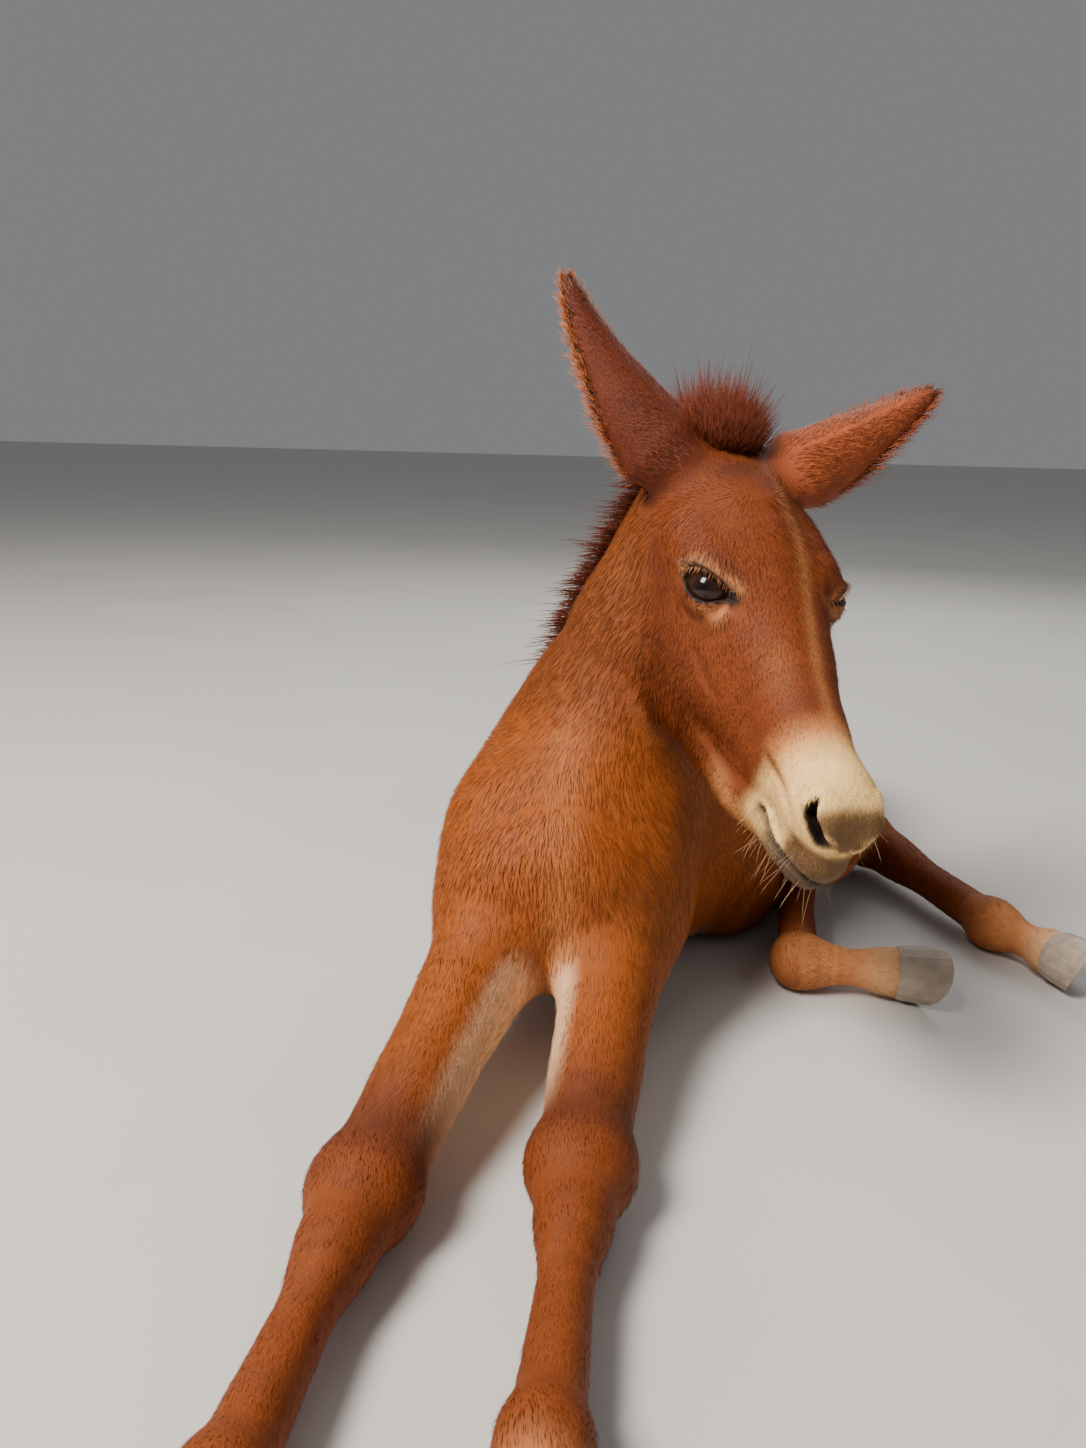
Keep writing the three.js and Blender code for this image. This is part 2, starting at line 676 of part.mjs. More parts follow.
// A large block that fills everything on the far side of a plane.
const BLOCK = 1600;
function beyond(point, normal) {
  const n = normal.clone().normalize();
  const turn = new THREE.Quaternion().setFromUnitVectors(new THREE.Vector3(0, 0, 1), n);
  const centre = point.clone().addScaledVector(n, BLOCK / 2);
  const matrix = new THREE.Matrix4().compose(centre, turn, new THREE.Vector3(1, 1, 1));
  return solidFromGeometry(new THREE.BoxGeometry(BLOCK, BLOCK, BLOCK), matrix);
}

const FLOOR = beyond(new THREE.Vector3(150, 950, 0), new THREE.Vector3(0, 0, -1));

// A form between planes: meshed a little past each plane, then cut flat on it.
function slice(field, low, high, cell, planes) {
  const margin = cell * 1.6;
  const limits = planes.map(({ point, normal }) => {
    const offset = normal.dot(point) + margin;
    return (x, y, z) => x * normal.x + y * normal.y + z * normal.z - offset;
  });
  const bounded = (x, y, z) => {
    let d = field(x, y, z);
    for (const limit of limits) d = Math.max(d, limit(x, y, z));
    return d;
  };
  let solid = facets(bounded, new THREE.Box3(V(low), V(high)), cell);
  for (const { point, normal } of planes) solid = solid.subtract(beyond(point, normal));
  return largest(solid.subtract(FLOOR));
}

// The hoof: a cone cut by the coronet above and the sole below, round at the toe, flat at the heel.
function hoof(leg) {
  const profile = [
    [0, 0], [HOOF_TOP, 0], [HOOF_TOP + 1.5, 5], [HOOF_SOLE, HOOF_LENGTH], [0, HOOF_LENGTH],
  ].map(([radius, along]) => new THREE.Vector2(radius, along));
  const axis = V(leg.coronet).sub(V(leg.fetlock)).normalize();
  const dorsal = V(leg.toeUp).addScaledVector(axis, -V(leg.toeUp).dot(axis)).normalize();
  const side = new THREE.Vector3().crossVectors(dorsal, axis);
  const start = V(leg.coronet).addScaledVector(axis, GAP);
  const solid = solidFromGeometry(
    new THREE.LatheGeometry(profile, 16),
    new THREE.Matrix4().makeBasis(dorsal, axis, side).setPosition(start),
  );
  const heel = start.clone().addScaledVector(dorsal, -HOOF_TOP * 0.75);
  const sole = start.clone().addScaledVector(axis, HOOF_LENGTH * 0.62);
  return solid
    .subtract(beyond(heel, dorsal.clone().negate().addScaledVector(axis, -0.05)))
    .subtract(beyond(sole, axis.clone().addScaledVector(dorsal, -0.6)))
    .subtract(FLOOR);
}

// One ear: a leaf rolled into a cup, its convex back outwards, on a curved midrib from base to tip.
// Each row of the leaf is an arc from one rim to the other; the inner face lies a skin's width inside.
const EAR_ROWS = 9;
const EAR_ARC = 8;
const EAR_OUTLINE = [[0, 0.72], [0.18, 1], [0.45, 0.8], [0.7, 0.5], [0.88, 0.26], [1, 0.08]];
function earWidth(t) {
  const next = Math.max(EAR_OUTLINE.findIndex(([at]) => at >= t), 1);
  const [[t0, w0], [t1, w1]] = [EAR_OUTLINE[next - 1], EAR_OUTLINE[next]];
  const f = (t - t0) / (t1 - t0);
  return EAR_WIDTH * (w0 + (w1 - w0) * f);
}

function ear(shape) {
  const rib = new THREE.QuadraticBezierCurve3(V(shape.base), V(shape.bend), V(shape.tip));
  const vertices = [];
  const rows = [];
  const addRow = (t, inset) => {
    const at = rib.getPoint(t);
    const axis = rib.getTangent(t);
    const back = V(shape.back).addScaledVector(axis, -V(shape.back).dot(axis)).normalize();
    const side = new THREE.Vector3().crossVectors(axis, back);
    const half = Math.max(earWidth(t) * shape.wide / 2 - inset, 1.5);
    const open = radians(THREE.MathUtils.lerp(150, 95, Math.min(t / 0.5, 1)));
    rows.push(vertices.length / 3);
    for (let i = 0; i <= EAR_ARC; i++) {
      const turn = -open + 2 * open * i / EAR_ARC;
      const p = at.clone()
        .addScaledVector(side, Math.sin(turn) * half)
        .addScaledVector(back, Math.cos(turn) * half * 0.75);
      vertices.push(p.x, p.y, p.z);
    }
  };
  for (let r = 0; r < EAR_ROWS; r++) addRow(r / (EAR_ROWS - 1), 0);
  for (let r = 0; r < EAR_ROWS; r++) {
    const t = r / (EAR_ROWS - 1);
    addRow(0.04 + t * 0.9, EAR_SKIN * (1 - 0.5 * t));
  }
  const triangles = [];
  const quad = (a, b, c, d) => triangles.push(a, b, c, a, c, d);
  const strip = (a, b) => {
    for (let i = 0; i < EAR_ARC; i++) quad(a + i, a + i + 1, b + i + 1, b + i);
  };
  const inner = rows.slice(EAR_ROWS);
  for (let r = 0; r < EAR_ROWS - 1; r++) {
    strip(rows[r], rows[r + 1]);
    strip(inner[r + 1], inner[r]);
    quad(rows[r], rows[r + 1], inner[r + 1], inner[r]);
    quad(inner[r] + EAR_ARC, inner[r + 1] + EAR_ARC, rows[r + 1] + EAR_ARC, rows[r] + EAR_ARC);
  }
  strip(inner[0], rows[0]);
  strip(rows[EAR_ROWS - 1], inner[EAR_ROWS - 1]);
  const footAt = (t, wide) => ({
    at: between(shape.base, shape.tip, t), wide, deep: EAR_WIDTH * 0.26, up: shape.back,
  });
  const foot = tube([footAt(-0.1, EAR_WIDTH * 0.3), footAt(0.1, EAR_WIDTH * 0.34)], 10, 1);
  return solidOf(vertices, triangles).add(foot);
}

const EARS = {
  right: {
    base: headPoint(14, -32, -32).toArray(), bend: [42, 925, 552], tip: [8, 925, 648],
    back: [0.75, -0.6, 0.1], wide: 1,
  },
  left: {
    base: headPoint(16, 32, -32).toArray(), bend: [266, 962, 520], tip: [342, 1000, 570],
    back: [0.1, -0.6, 0.8], wide: 0.88,
  },
};

// The dock and the hair of the tail, hanging behind the buttocks and laid out on the floor.
const TAIL = [
  { at: [318, 1462, 176], wide: 24, deep: 26, up: [0, 0, 1] },
  { at: [338, 1522, 150], wide: 28, deep: 28, up: [0, 0, 1] },
  { at: [352, 1566, 92], wide: 36, deep: 32, up: [0, 0.7, 0.7] },
  { at: [368, 1588, 38], wide: 38, deep: 30, up: [0, 0.3, 1] },
  { at: [396, 1592, 17], wide: 30, deep: 18, up: [0, 0, 1] },
  { at: [426, 1574, 9], wide: 14, deep: 9, up: [0, 0, 1] },
];

const group = new THREE.Group();

function addNode(name, solid, finish) {
  const piece = largest(solid).getMesh();
  const geometry = new THREE.BufferGeometry();
  geometry.setAttribute('position', new THREE.BufferAttribute(Float32Array.from(piece.vertProperties), 3));
  geometry.setIndex(new THREE.BufferAttribute(Uint32Array.from(piece.triVerts), 1));
  geometry.computeVertexNormals();
  const mesh = new THREE.Mesh(geometry, new THREE.MeshStandardMaterial(finish));
  mesh.name = name;
  group.add(mesh);
}

const grown = (field, by) => (x, y, z) => field(x, y, z) - by;

// A parting plane: a point on it and its direction, towards the foot or the head.
function planeAt(point, direction) {
  return { point: V(point), normal: V(direction).normalize() };
}

function farSide(plane) {
  return {
    point: plane.point.clone().addScaledVector(plane.normal, GAP),
    normal: plane.normal.clone().negate(),
  };
}

// The plane that halves the bend of a joint between the bones before and after it.
function jointPlane(before, joint, after) {
  const toFoot = V(after).sub(V(joint)).normalize();
  const toBody = V(before).sub(V(joint)).normalize();
  return { point: V(joint), normal: toFoot.sub(toBody).normalize() };
}

const NECK_BASE = planeAt([48, 985, 272], [-0.02, -0.35, 0.94]);
const NAPE = planeAt([108, 947, 444], [0.557, -0.117, 0.82]);
const TORSO_BOX = [[-160, 760, -30], [470, 1600, 420]];
const NECK_BOX = [[-120, 800, 150], [300, 1180, 620]];
const HEAD_BOX = [[20, 540, 180], [420, 1060, 620]];

const torso = slice(chest, ...TORSO_BOX, TORSO_CELL, [NECK_BASE]);
const torsoRoom = room(torso);
addNode('torso', torso, CHESTNUT);

// The tuft on the poll: a dense core half as high as its locks, which lean back and fan out.
const tuft = tube([
  { at: headPoint(2, -7, -14).toArray(), wide: 28, deep: 17, up: HEAD.forward.toArray() },
  { at: headPoint(-14, -10, TUFT_HEIGHT * 0.35).toArray(), wide: 24, deep: 13, up: HEAD.forward.toArray() },
], 8, 1);
const tuftLocks = [];
for (let i = 0; i < TUFT_LOCKS; i++) {
  const turn = 2 * Math.PI * i / TUFT_LOCKS;
  const ring = i % 2 ? 0.5 : 0.95;
  const x = -5 + 13 * ring * Math.cos(turn);
  const y = -10 + 26 * ring * Math.sin(turn);
  const high = TUFT_HEIGHT * (i % 2 ? 1.1 : 0.9) + 5 * vary();
  const place = (out, z, back) => headPoint(x * out - back, y * out - z * 0.2, z).toArray();
  const middle = [place(1, high * 0.45, 4), place(1.1, high * 0.8, 14 + 3 * vary())];
  const line = [place(0.8, 2, 0), ...middle, place(1.15, high, 28)];
  tuftLocks.push(lock(line, HEAD.left.toArray(), 12, 5));
}

// The locks of the mane stand up from its core in two rows and lie back towards the withers.
const maneLocks = [];
const maneRings = sections(crest(0), MANE_LOCKS / 5);
for (let i = 1; i < MANE_LOCKS; i++) {
  const { at, axis, up, side } = maneRings[i];
  const lean = (i % 2 ? 1 : -1) * (1 + 0.3 * vary());
  const place = (high, out, back) => at.clone().addScaledVector(up, high)
    .addScaledVector(side, out * lean).addScaledVector(axis, -back).toArray();
  const high = MANE_HEIGHT * (1 + 0.15 * vary());
  maneLocks.push({
    along: i / MANE_LOCKS,
    solid: lock(
      [place(-7, 2, 0), place(high * 0.35, 4, 4), place(high * 0.75, 8, 12), place(high, 9, 22)],
      axis.toArray(), 11, 3.5,
    ),
  });
}
const aboveNape = (x, y, z) => NAPE.normal.dot(new THREE.Vector3(x, y, z).sub(NAPE.point));
const wholeNeck = join(34, chest, (x, y, z) => Math.max(head(x, y, z) + MERGE, neck(x, y, z) - 45));
const headForm = (x, y, z) => {
  const whole = join(34, neck, head)(x, y, z);
  return Math.min(head(x, y, z), Math.max(whole, -aboveNape(x, y, z)));
};
const mane = tube(crest(10).map((s) => ({ ...s, wide: 8, deep: 10 + MANE_HEIGHT * 0.4 })), 6, 1);
const manePart = (keep, cut) => maneLocks.filter(keep)
  .reduce((whole, { solid }) => whole.add(solid), mane).subtract(cut);
const headSide = beyond(NAPE.point, NAPE.normal.clone().negate());
let headSolid = slice(headForm, ...HEAD_BOX, HEAD_CELL, []).add(tuft)
  .add(manePart(({ along }) => along > 0.75, headSide));
for (const solid of tuftLocks) headSolid = headSolid.add(solid);
for (const side of ['right', 'left']) {
  headSolid = headSolid.add(lid(side, 0.52)).add(lid(side, -0.45))
    .subtract(carve(NOSTRIL, side === 'left' ? 1 : -1, 2.6, 5, [0.5, 0.8, 0.2]))
    .subtract(carve(MOUTH, side === 'left' ? 1 : -1, 4, 0.9, FACE_UP));
}
headSolid = largest(headSolid);
const headRoom = slice(grown(headForm, HEAD_FIT), ...HEAD_BOX, HEAD_FIT_CELL, []).add(room(headSolid));
for (const side of ['right', 'left']) {
  const c = headPoint(EYE[0], side === 'left' ? EYE[1] : -EYE[1], EYE[2]);
  const move = new THREE.Matrix4().makeTranslation(c.x, c.y, c.z);
  const socket = solidFromGeometry(new THREE.SphereGeometry(EYE_RADIUS + GAP, 12, 8), move);
  headSolid = headSolid.subtract(socket);
  addNode(`eye_${side}`, solidFromGeometry(new THREE.SphereGeometry(EYE_RADIUS, 12, 8), move), EYE_BROWN);
  addNode(`ear_${side}`, ear(EARS[side]).subtract(headRoom), DARK_HAIR);
}
addNode('head', headSolid, CHESTNUT);

const napeCut = { point: NAPE.point.clone().addScaledVector(NAPE.normal, -GAP), normal: NAPE.normal };
addNode('neck', slice(wholeNeck, ...NECK_BOX, NECK_CELL, [farSide(NECK_BASE), napeCut])
  .add(manePart(({ along }) => along < 0.9, beyond(napeCut.point, napeCut.normal)).subtract(torsoRoom))
  .subtract(headRoom), CHESTNUT);

// Legs, each parted across its joints, its root cut to the trunk that it grows from.
const trunkInside = grown(trunk, -MERGE);
function legBox(...points) {
  const box = new THREE.Box3();
  for (const p of points) box.expandByPoint(V(p));
  box.expandByScalar(110);
  return [box.min.toArray(), box.max.toArray()];
}

function rooted(form, reach) {
  const whole = join(reach, form, trunkInside);
  return (x, y, z) => Math.max(whole(x, y, z), form(x, y, z) - reach);
}

function pare(solid, planes) {
  let rest = solid;
  for (const plane of planes) rest = rest.subtract(beyond(plane.point, plane.normal));
  return rest.subtract(FLOOR);
}

const FORE_SPLIT = planeAt([20, 878, 98], [0.975, -0.22, 0]);
const HIND_SPLIT = planeAt([252, 1090, 91], [0.6, -0.147, 0.8]);
for (const side of ['right', 'left']) {
  const leg = FORE_LEGS[side];
  const split = side === 'right' ? FORE_SPLIT : farSide(FORE_SPLIT);
  const armCut = planeAt(between(leg.elbow, leg.knee, 0.86), V(leg.knee).sub(V(leg.elbow)).toArray());
  const ankleCut = jointPlane(leg.knee, leg.fetlock, leg.coronet);
  const footCut = planeAt(leg.coronet, V(leg.coronet).sub(V(leg.fetlock)).toArray());
  const name = `foreleg_${side}`;
  addNode(`${name}_upper`, slice(
    rooted(limb(foreUpper(leg)), 36), ...legBox(leg.elbow, leg.knee), ARM_CELL, [armCut, split],
  ).subtract(torsoRoom), CHESTNUT);
  addNode(`${name}_lower`, pare(tube(foreLower(leg), 12), [farSide(armCut), ankleCut]), CHESTNUT);
  addNode(`${name}_pastern`, pare(
    tube(pasternStations(leg, FORE_SIZES), 12), [farSide(ankleCut), footCut],
  ), CHESTNUT);
  addNode(`hoof_fore_${side}`, hoof(leg), HOOF_GREY);
}

let lowerRoom = torsoRoom;
for (const side of ['right', 'left']) {
  const leg = HIND_LEGS[side];
  const split = side === 'right' ? HIND_SPLIT : farSide(HIND_SPLIT);
  const hockCut = jointPlane(leg.stifle, leg.hock, leg.fetlock);
  const ankleCut = jointPlane(leg.hock, leg.fetlock, leg.coronet);
  const footCut = planeAt(leg.coronet, V(leg.coronet).sub(V(leg.fetlock)).toArray());
  const name = `hindleg_${side}`;
  const thigh = join(30, limb(hindUpper(leg)), limb(hindGaskin(leg)));
  addNode(`${name}_upper`, slice(
    rooted(thigh, 30), ...legBox(leg.hip, leg.stifle, leg.hock), THIGH_CELL, [hockCut, split],
  ).subtract(torsoRoom).subtract(lowerRoom), CHESTNUT);
  const lower = pare(tube(hindLower(leg), 12), [farSide(hockCut), ankleCut]);
  lowerRoom = room(lower);
  addNode(`${name}_lower`, lower, CHESTNUT);
  addNode(`${name}_pastern`, pare(
    tube(pasternStations(leg, HIND_SIZES), 12), [farSide(ankleCut), footCut],
  ), CHESTNUT);
  addNode(`hoof_hind_${side}`, hoof(leg), HOOF_GREY);
}

// The tail: the dock inside, and locks that follow it and fan out towards its end.
let tail = tube(TAIL.map((s) => ({ ...s, wide: s.wide * 0.75, deep: s.deep * 0.75 })), 10, 1);
const tailRings = sections(TAIL.map((s) => ({ ...s, at: s.at })), 6);
for (let i = 0; i < TAIL_LOCKS; i++) {
  const first = Math.round(3 + 17 * i / TAIL_LOCKS);
  const turn = 2.4 * i;
  const place = (step, out) => {
    const r = tailRings[Math.min(first + step, tailRings.length - 1)];
    return r.at.clone().addScaledVector(r.side, Math.cos(turn) * r.wide * out)
      .addScaledVector(r.up, Math.sin(turn) * r.deep * out).toArray();
  };
  const spread = 1.1 + 0.1 * vary();
  tail = tail.add(lock(
    [place(0, 0.5), place(2, 0.85), place(6, spread), place(9, spread + 0.25)],
    tailRings[first].axis.clone().cross(V(place(0, 1)).sub(tailRings[first].at)).toArray(), 15, 5,
  ));
}
addNode('tail', pare(tail, []).subtract(torsoRoom), DARK_HAIR);

// The origin is the middle of the footprint, on the floor.
const extent = new THREE.Box3().setFromObject(group);
group.position.set(-(extent.min.x + extent.max.x) / 2, -(extent.min.y + extent.max.y) / 2, 0);

export default group;
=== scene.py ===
import math

import bpy
import numpy as np
from mathutils import Matrix, Vector


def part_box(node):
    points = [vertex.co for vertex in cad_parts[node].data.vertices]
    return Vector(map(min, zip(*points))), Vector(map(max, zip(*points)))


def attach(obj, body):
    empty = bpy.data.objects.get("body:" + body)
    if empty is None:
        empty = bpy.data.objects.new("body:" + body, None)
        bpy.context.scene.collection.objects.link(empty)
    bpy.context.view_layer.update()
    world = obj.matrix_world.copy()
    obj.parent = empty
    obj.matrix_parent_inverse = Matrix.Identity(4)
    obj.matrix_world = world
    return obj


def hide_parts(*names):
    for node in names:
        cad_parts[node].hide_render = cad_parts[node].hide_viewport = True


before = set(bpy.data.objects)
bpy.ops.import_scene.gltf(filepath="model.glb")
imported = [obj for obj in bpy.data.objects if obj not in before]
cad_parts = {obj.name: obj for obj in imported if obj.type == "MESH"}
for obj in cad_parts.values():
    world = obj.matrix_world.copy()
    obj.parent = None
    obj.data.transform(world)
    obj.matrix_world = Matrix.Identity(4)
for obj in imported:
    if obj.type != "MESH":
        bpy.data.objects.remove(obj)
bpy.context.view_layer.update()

MM = 0.001
SEED = 11
TINY = 1e-6
SPECK = 1e-9
rng = np.random.default_rng(SEED)

# Driving dimensions, in millimetres. The depths are those of the skin below the solids' surface, the cells
# those of the grid that the skin is drawn on.
EYE_RADIUS = 19
EAR_WIDTH = 84
EAR_SKIN = 8
BODY_DEPTH = 4.5
LEG_DEPTH = 2.5
BODY_CELL = 7.9
HEAD_CELL = 3.7
FACE_CELL = 2.5
SKIN_FLOOR = 0.3
HAIR_FLOOR = 0.5

# A form further away than this from a point is only measured roughly.
CULL = 66

# The head hangs from the poll: how far its face points down, how far it turns and leans to its left.
POLL = (155, 915, 520)
HEAD_PITCH = 38.5
HEAD_YAW = 12.4
HEAD_TILT = -6


def unit(v):
    v = np.asarray(v, float)
    return v / np.linalg.norm(v)


def rows_unit(v):
    return v / np.maximum(np.linalg.norm(v, axis=1), TINY)[:, None]


def square_to(axis, v):
    """The rows of v without what lies along their axis, as directions."""
    return rows_unit(v - axis * (v * axis).sum(1)[:, None])


def row_at(rows, place):
    """Rows at places between whole numbers, each mixed from the two rows beside it."""
    low = np.clip(place.astype(int), 0, len(rows) - 2)
    f = (place - low)[:, None]
    return rows[low] * (1 - f) + rows[low + 1] * f


def nearest_on(line, p):
    """The nearest place on a line to each point, whole at the line's own points, and its stretch."""
    best = np.full(len(p), np.inf)
    place = np.zeros(len(p))
    stretch = np.zeros(len(p), int)
    for i, step in enumerate(np.diff(line, axis=0)):
        t = np.clip((p - line[i]) @ step / step.dot(step), 0, 1)
        gap = np.linalg.norm(p - line[i] - t[:, None] * step, axis=1)
        closer = gap < best
        best[closer] = gap[closer]
        place[closer] = i + t[closer]
        stretch[closer] = i
    return place, stretch


def bell(x, middle, width):
    return np.exp(-((x - middle) / width) ** 2)


def head_axes():
    pitch, yaw, tilt = (math.radians(a) for a in (HEAD_PITCH, HEAD_YAW, HEAD_TILT))
    forward = np.array([
        math.sin(yaw) * math.cos(pitch), -math.cos(yaw) * math.cos(pitch), -math.sin(pitch),
    ])
    level = np.array([math.cos(yaw), math.sin(yaw), 0.0])
    left = level * math.cos(tilt) + np.cross(forward, level) * math.sin(tilt)
    return np.array([forward, left, np.cross(forward, left)])


HEAD_AT = np.array(POLL, float)
HEAD_AXES = head_axes()


def head_point(x, y, z):
    """A point of the head's own frame: x from the poll to the nose, y to the left, z out of the face."""
    return HEAD_AT + np.array([x, y, z], float) @ HEAD_AXES


def to_head(p):
    return (p - HEAD_AT) @ HEAD_AXES.T


# Forms as distances in millimetres, negative inside, for arrays of points.
def oval_gap(k0, k1, least):
    """The distance to an oval, from a point's scaled radius and the slope of that."""
    return np.where(k1 < SPECK, -least, k0 * (k0 - 1) / np.maximum(k1, SPECK))


def blob(centre, radii):
    c, r = np.array(centre, float), np.array(radii, float)

    def field(p):
        u = (p - c) / r
        return oval_gap(np.sqrt((u * u).sum(1)), np.sqrt(((u / r) ** 2).sum(1)), r.min())
    return field


def catmull(points, t):
    """A point at t from 0 to 1 on the centripetal spline through the points."""
    last = len(points) - 1
    at = min(max(t, 0.0), 1.0) * last
    i = min(int(at), last - 1)
    w = at - i
    p1, p2 = points[i], points[i + 1]
    p0 = points[i - 1] if i > 0 else 2 * p1 - p2
    p3 = points[i + 2] if i + 2 <= last else 2 * p2 - p1
    d0, d1, d2 = (math.sqrt(np.linalg.norm(b - a)) for a, b in ((p0, p1), (p1, p2), (p2, p3)))
    t1 = ((p1 - p0) / d0 - (p2 - p0) / (d0 + d1) + (p2 - p1) / d1) * d1
    t2 = ((p2 - p1) / d1 - (p3 - p1) / (d1 + d2) + (p3 - p2) / d2) * d1
    c2 = -3 * p1 + 3 * p2 - 2 * t1 - t2
    c3 = 2 * p1 - 2 * p2 + t1 + t2
    return p1 + t1 * w + c2 * w ** 2 + c3 * w ** 3


def sections(stations, samples):
    """Oval sections along the smooth line through the stations: place, half width, half depth, up, axis."""
    points = [np.array(s[0], float) for s in stations]
    spans = len(stations) - 1
    rings = []
    for i in range(spans * samples + 1):
        along = i / samples
        k = min(int(along), spans - 1)
        f = along - k
        s = f * f * (3 - 2 * f)
        a, b = stations[k], stations[k + 1]
        t = along / spans
        axis = unit(catmull(points, min(t + 1e-4, 1)) - catmull(points, max(t - 1e-4, 0)))
        up = np.array(a[3], float) * (1 - s) + np.array(b[3], float) * s
        up = unit(up - axis * up.dot(axis))
        rings.append((catmull(points, t), a[1] + (b[1] - a[1]) * s, a[2] + (b[2] - a[2]) * s, up, axis))
    return rings


def limb(stations, samples=5):
    """A part with oval sections. Each station: place, half width, half depth, direction of its depth."""
    rings = sections(stations, samples)
    at = np.array([r[0] for r in rings])
    start = at[:-1]
    axis = at[1:] - start
    length = np.linalg.norm(axis, axis=1)
    axis = axis / length[:, None]
    up = np.array([a[3] + b[3] for a, b in zip(rings[:-1], rings[1:])])
    up = square_to(axis, up)
    side = np.cross(axis, up)
    wide = np.array([r[1] for r in rings])
    deep = np.array([r[2] for r in rings])
    w0, w1, d0, d1 = wide[:-1], wide[1:], deep[:-1], deep[1:]
    a0, s0, u0 = ((start * v).sum(1) for v in (axis, side, up))
    reach = np.maximum(wide, deep).max()
    centre = (at.min(0) + at.max(0)) / 2
    ball = np.linalg.norm(at - centre, axis=1).max() + reach

    def field(p):
        out = np.linalg.norm(p - centre, axis=1) - ball
        near = np.nonzero(out < CULL)[0]
        for some in np.array_split(near, max(1, len(near) // 20000)):
            q = p[some]
            along = q @ axis.T - a0
            t = np.clip(along / length, 0, 1)
            w = w0 + (w1 - w0) * t
            d = d0 + (d1 - d0) * t
            r = np.minimum(w, d)
            over = (along - t * length) / r
            u = (q @ side.T - s0) / w
            v = (q @ up.T - u0) / d
            k0 = np.sqrt(u * u + v * v + over * over)
            k1 = np.sqrt((u / w) ** 2 + (v / d) ** 2 + (over / r) ** 2)
            out[some] = oval_gap(k0, k1, r).min(1)
        return out
    return field


def soften(d, e, soft):
    h = np.maximum(soft - np.abs(d - e), 0) / soft
    return np.minimum(d, e) - h * h * soft / 4


def soft_cut(d, tool, soft):
    h = np.maximum(soft - np.abs(d + tool), 0) / soft
    return np.maximum(d, -tool) + h * h * soft / 4


def flesh_depth(x):
    """How far the skin of the head lies inside the coat: less towards the nose."""
    return np.interp(x, (-20, 30, 240, 320), (3.5, 2.2, 2.0, 0.8))


def join(soft, *fields):
    """Forms joined with a soft fillet of the given width."""
    def field(p):
        d = fields[0](p)
        for other in fields[1:]:
            d = soften(d, other(p), soft)
        return d
    return field


def placed(field, centre, reach):
    """A form drawn in the head's frame. Beyond its reach only the distance to its ball counts."""
    c = head_point(*centre)

    def outer(p):
        out = np.linalg.norm(p - c, axis=1) - reach
        near = out < CULL
        out[near] = field(to_head(p[near]))
        return out
    return outer


# The trunk: shoulders upright on the floor, the pelvis rolled over to the animal's right.
Z_UP = (0, 0, 1)
AWAY = (0, 1, 0)
TRUNK = [
    ((24, 872, 146), 78, 92, Z_UP), ((34, 925, 144), 102, 130, Z_UP),
    ((62, 1000, 143), 112, 149, Z_UP), ((118, 1095, 140), 128, 146, (-0.05, 0, 1)),
    ((178, 1195, 140), 132, 136, (-0.15, 0, 1)), ((236, 1290, 136), 118, 128, (-0.3, 0, 1)),
    ((285, 1380, 130), 112, 122, (-0.4, 0, 1)), ((318, 1450, 112), 86, 92, (-0.4, 0, 1)),
]
SHOULDER_RIGHT = [
    ((2, 1015, 232), 28, 48, AWAY), ((-46, 930, 182), 36, 56, AWAY), ((-46, 884, 128), 44, 54, AWAY),
]
SHOULDER_LEFT = [
    ((96, 1000, 232), 28, 48, AWAY), ((94, 925, 178), 36, 56, AWAY), ((82, 890, 128), 44, 54, AWAY),
]


def level_limb(*stations, samples=5):
    """A limb from stations of x, y, z, half width and half depth whose depths all point up."""
    return limb([((x, y, z), wide, deep, Z_UP) for x, y, z, wide, deep in stations], samples)


WITHERS = level_limb((48, 1010, 235, 40, 60), (82, 1080, 250, 36, 50), (135, 1170, 228, 34, 40))
HAUNCH = level_limb((215, 1400, 112, 62, 84), (150, 1315, 88, 62, 86), (104, 1225, 60, 44, 58))
HIP = blob((176, 1262, 214), (34, 46, 26))
BUTTOCK = blob((252, 1462, 122), (50, 40, 46))
BREASTS = join(14, blob((-18, 856, 128), (46, 42, 58)), blob((58, 860, 126), (44, 40, 56)))

# The neck rises from between the shoulders and turns to the animal's left towards the poll.
NECK = [
    ((52, 1004, 200), 78, 112, (0.0, 0.75, 0.6)),
    ((52, 969, 272), 58, 80, (-0.35, 0.8, 0.5)),
    ((70, 947, 344), 48, 62, (-0.55, 0.75, 0.4)),
    ((101, 939, 413), 44, 56, (-0.55, 0.7, 0.45)),
    ((132, 938, 474), 43, 54, (-0.4, 0.6, 0.7)),
]
NECK_SAMPLES = 9

# The left eye's centre in the head's frame; the right one mirrors it.
EYE = (135, 46, -37)


def pair(soft, centre, radii):
    x, y, z = centre
    return join(soft, blob((x, y, z), radii), blob((x, -y, z), radii))


# The hollow under the crest of the cheek, the one between cheek and jaw, and the one behind the nostril:
# place and radius of the round tool that presses each into the face.
FACE_HOLLOWS = (
    ((172, 58, -72, 5), (192, 54, -77, 6), (210, 49, -77, 4)),
    ((212, 42, -123, 4), (241, 36, -117, 6), (261, 33, -108, 6), (280, 30, -98, 4)),
    ((278, 34, -57, 3), (290, 33, -56, 5), (304, 33, -53, 5), (320, 34, -52, 4), (336, 31, -58, 3)),
)


CRANIUM_AT = (46, 0, -54)
CRANIUM_SIZE = (64, 58, 54)


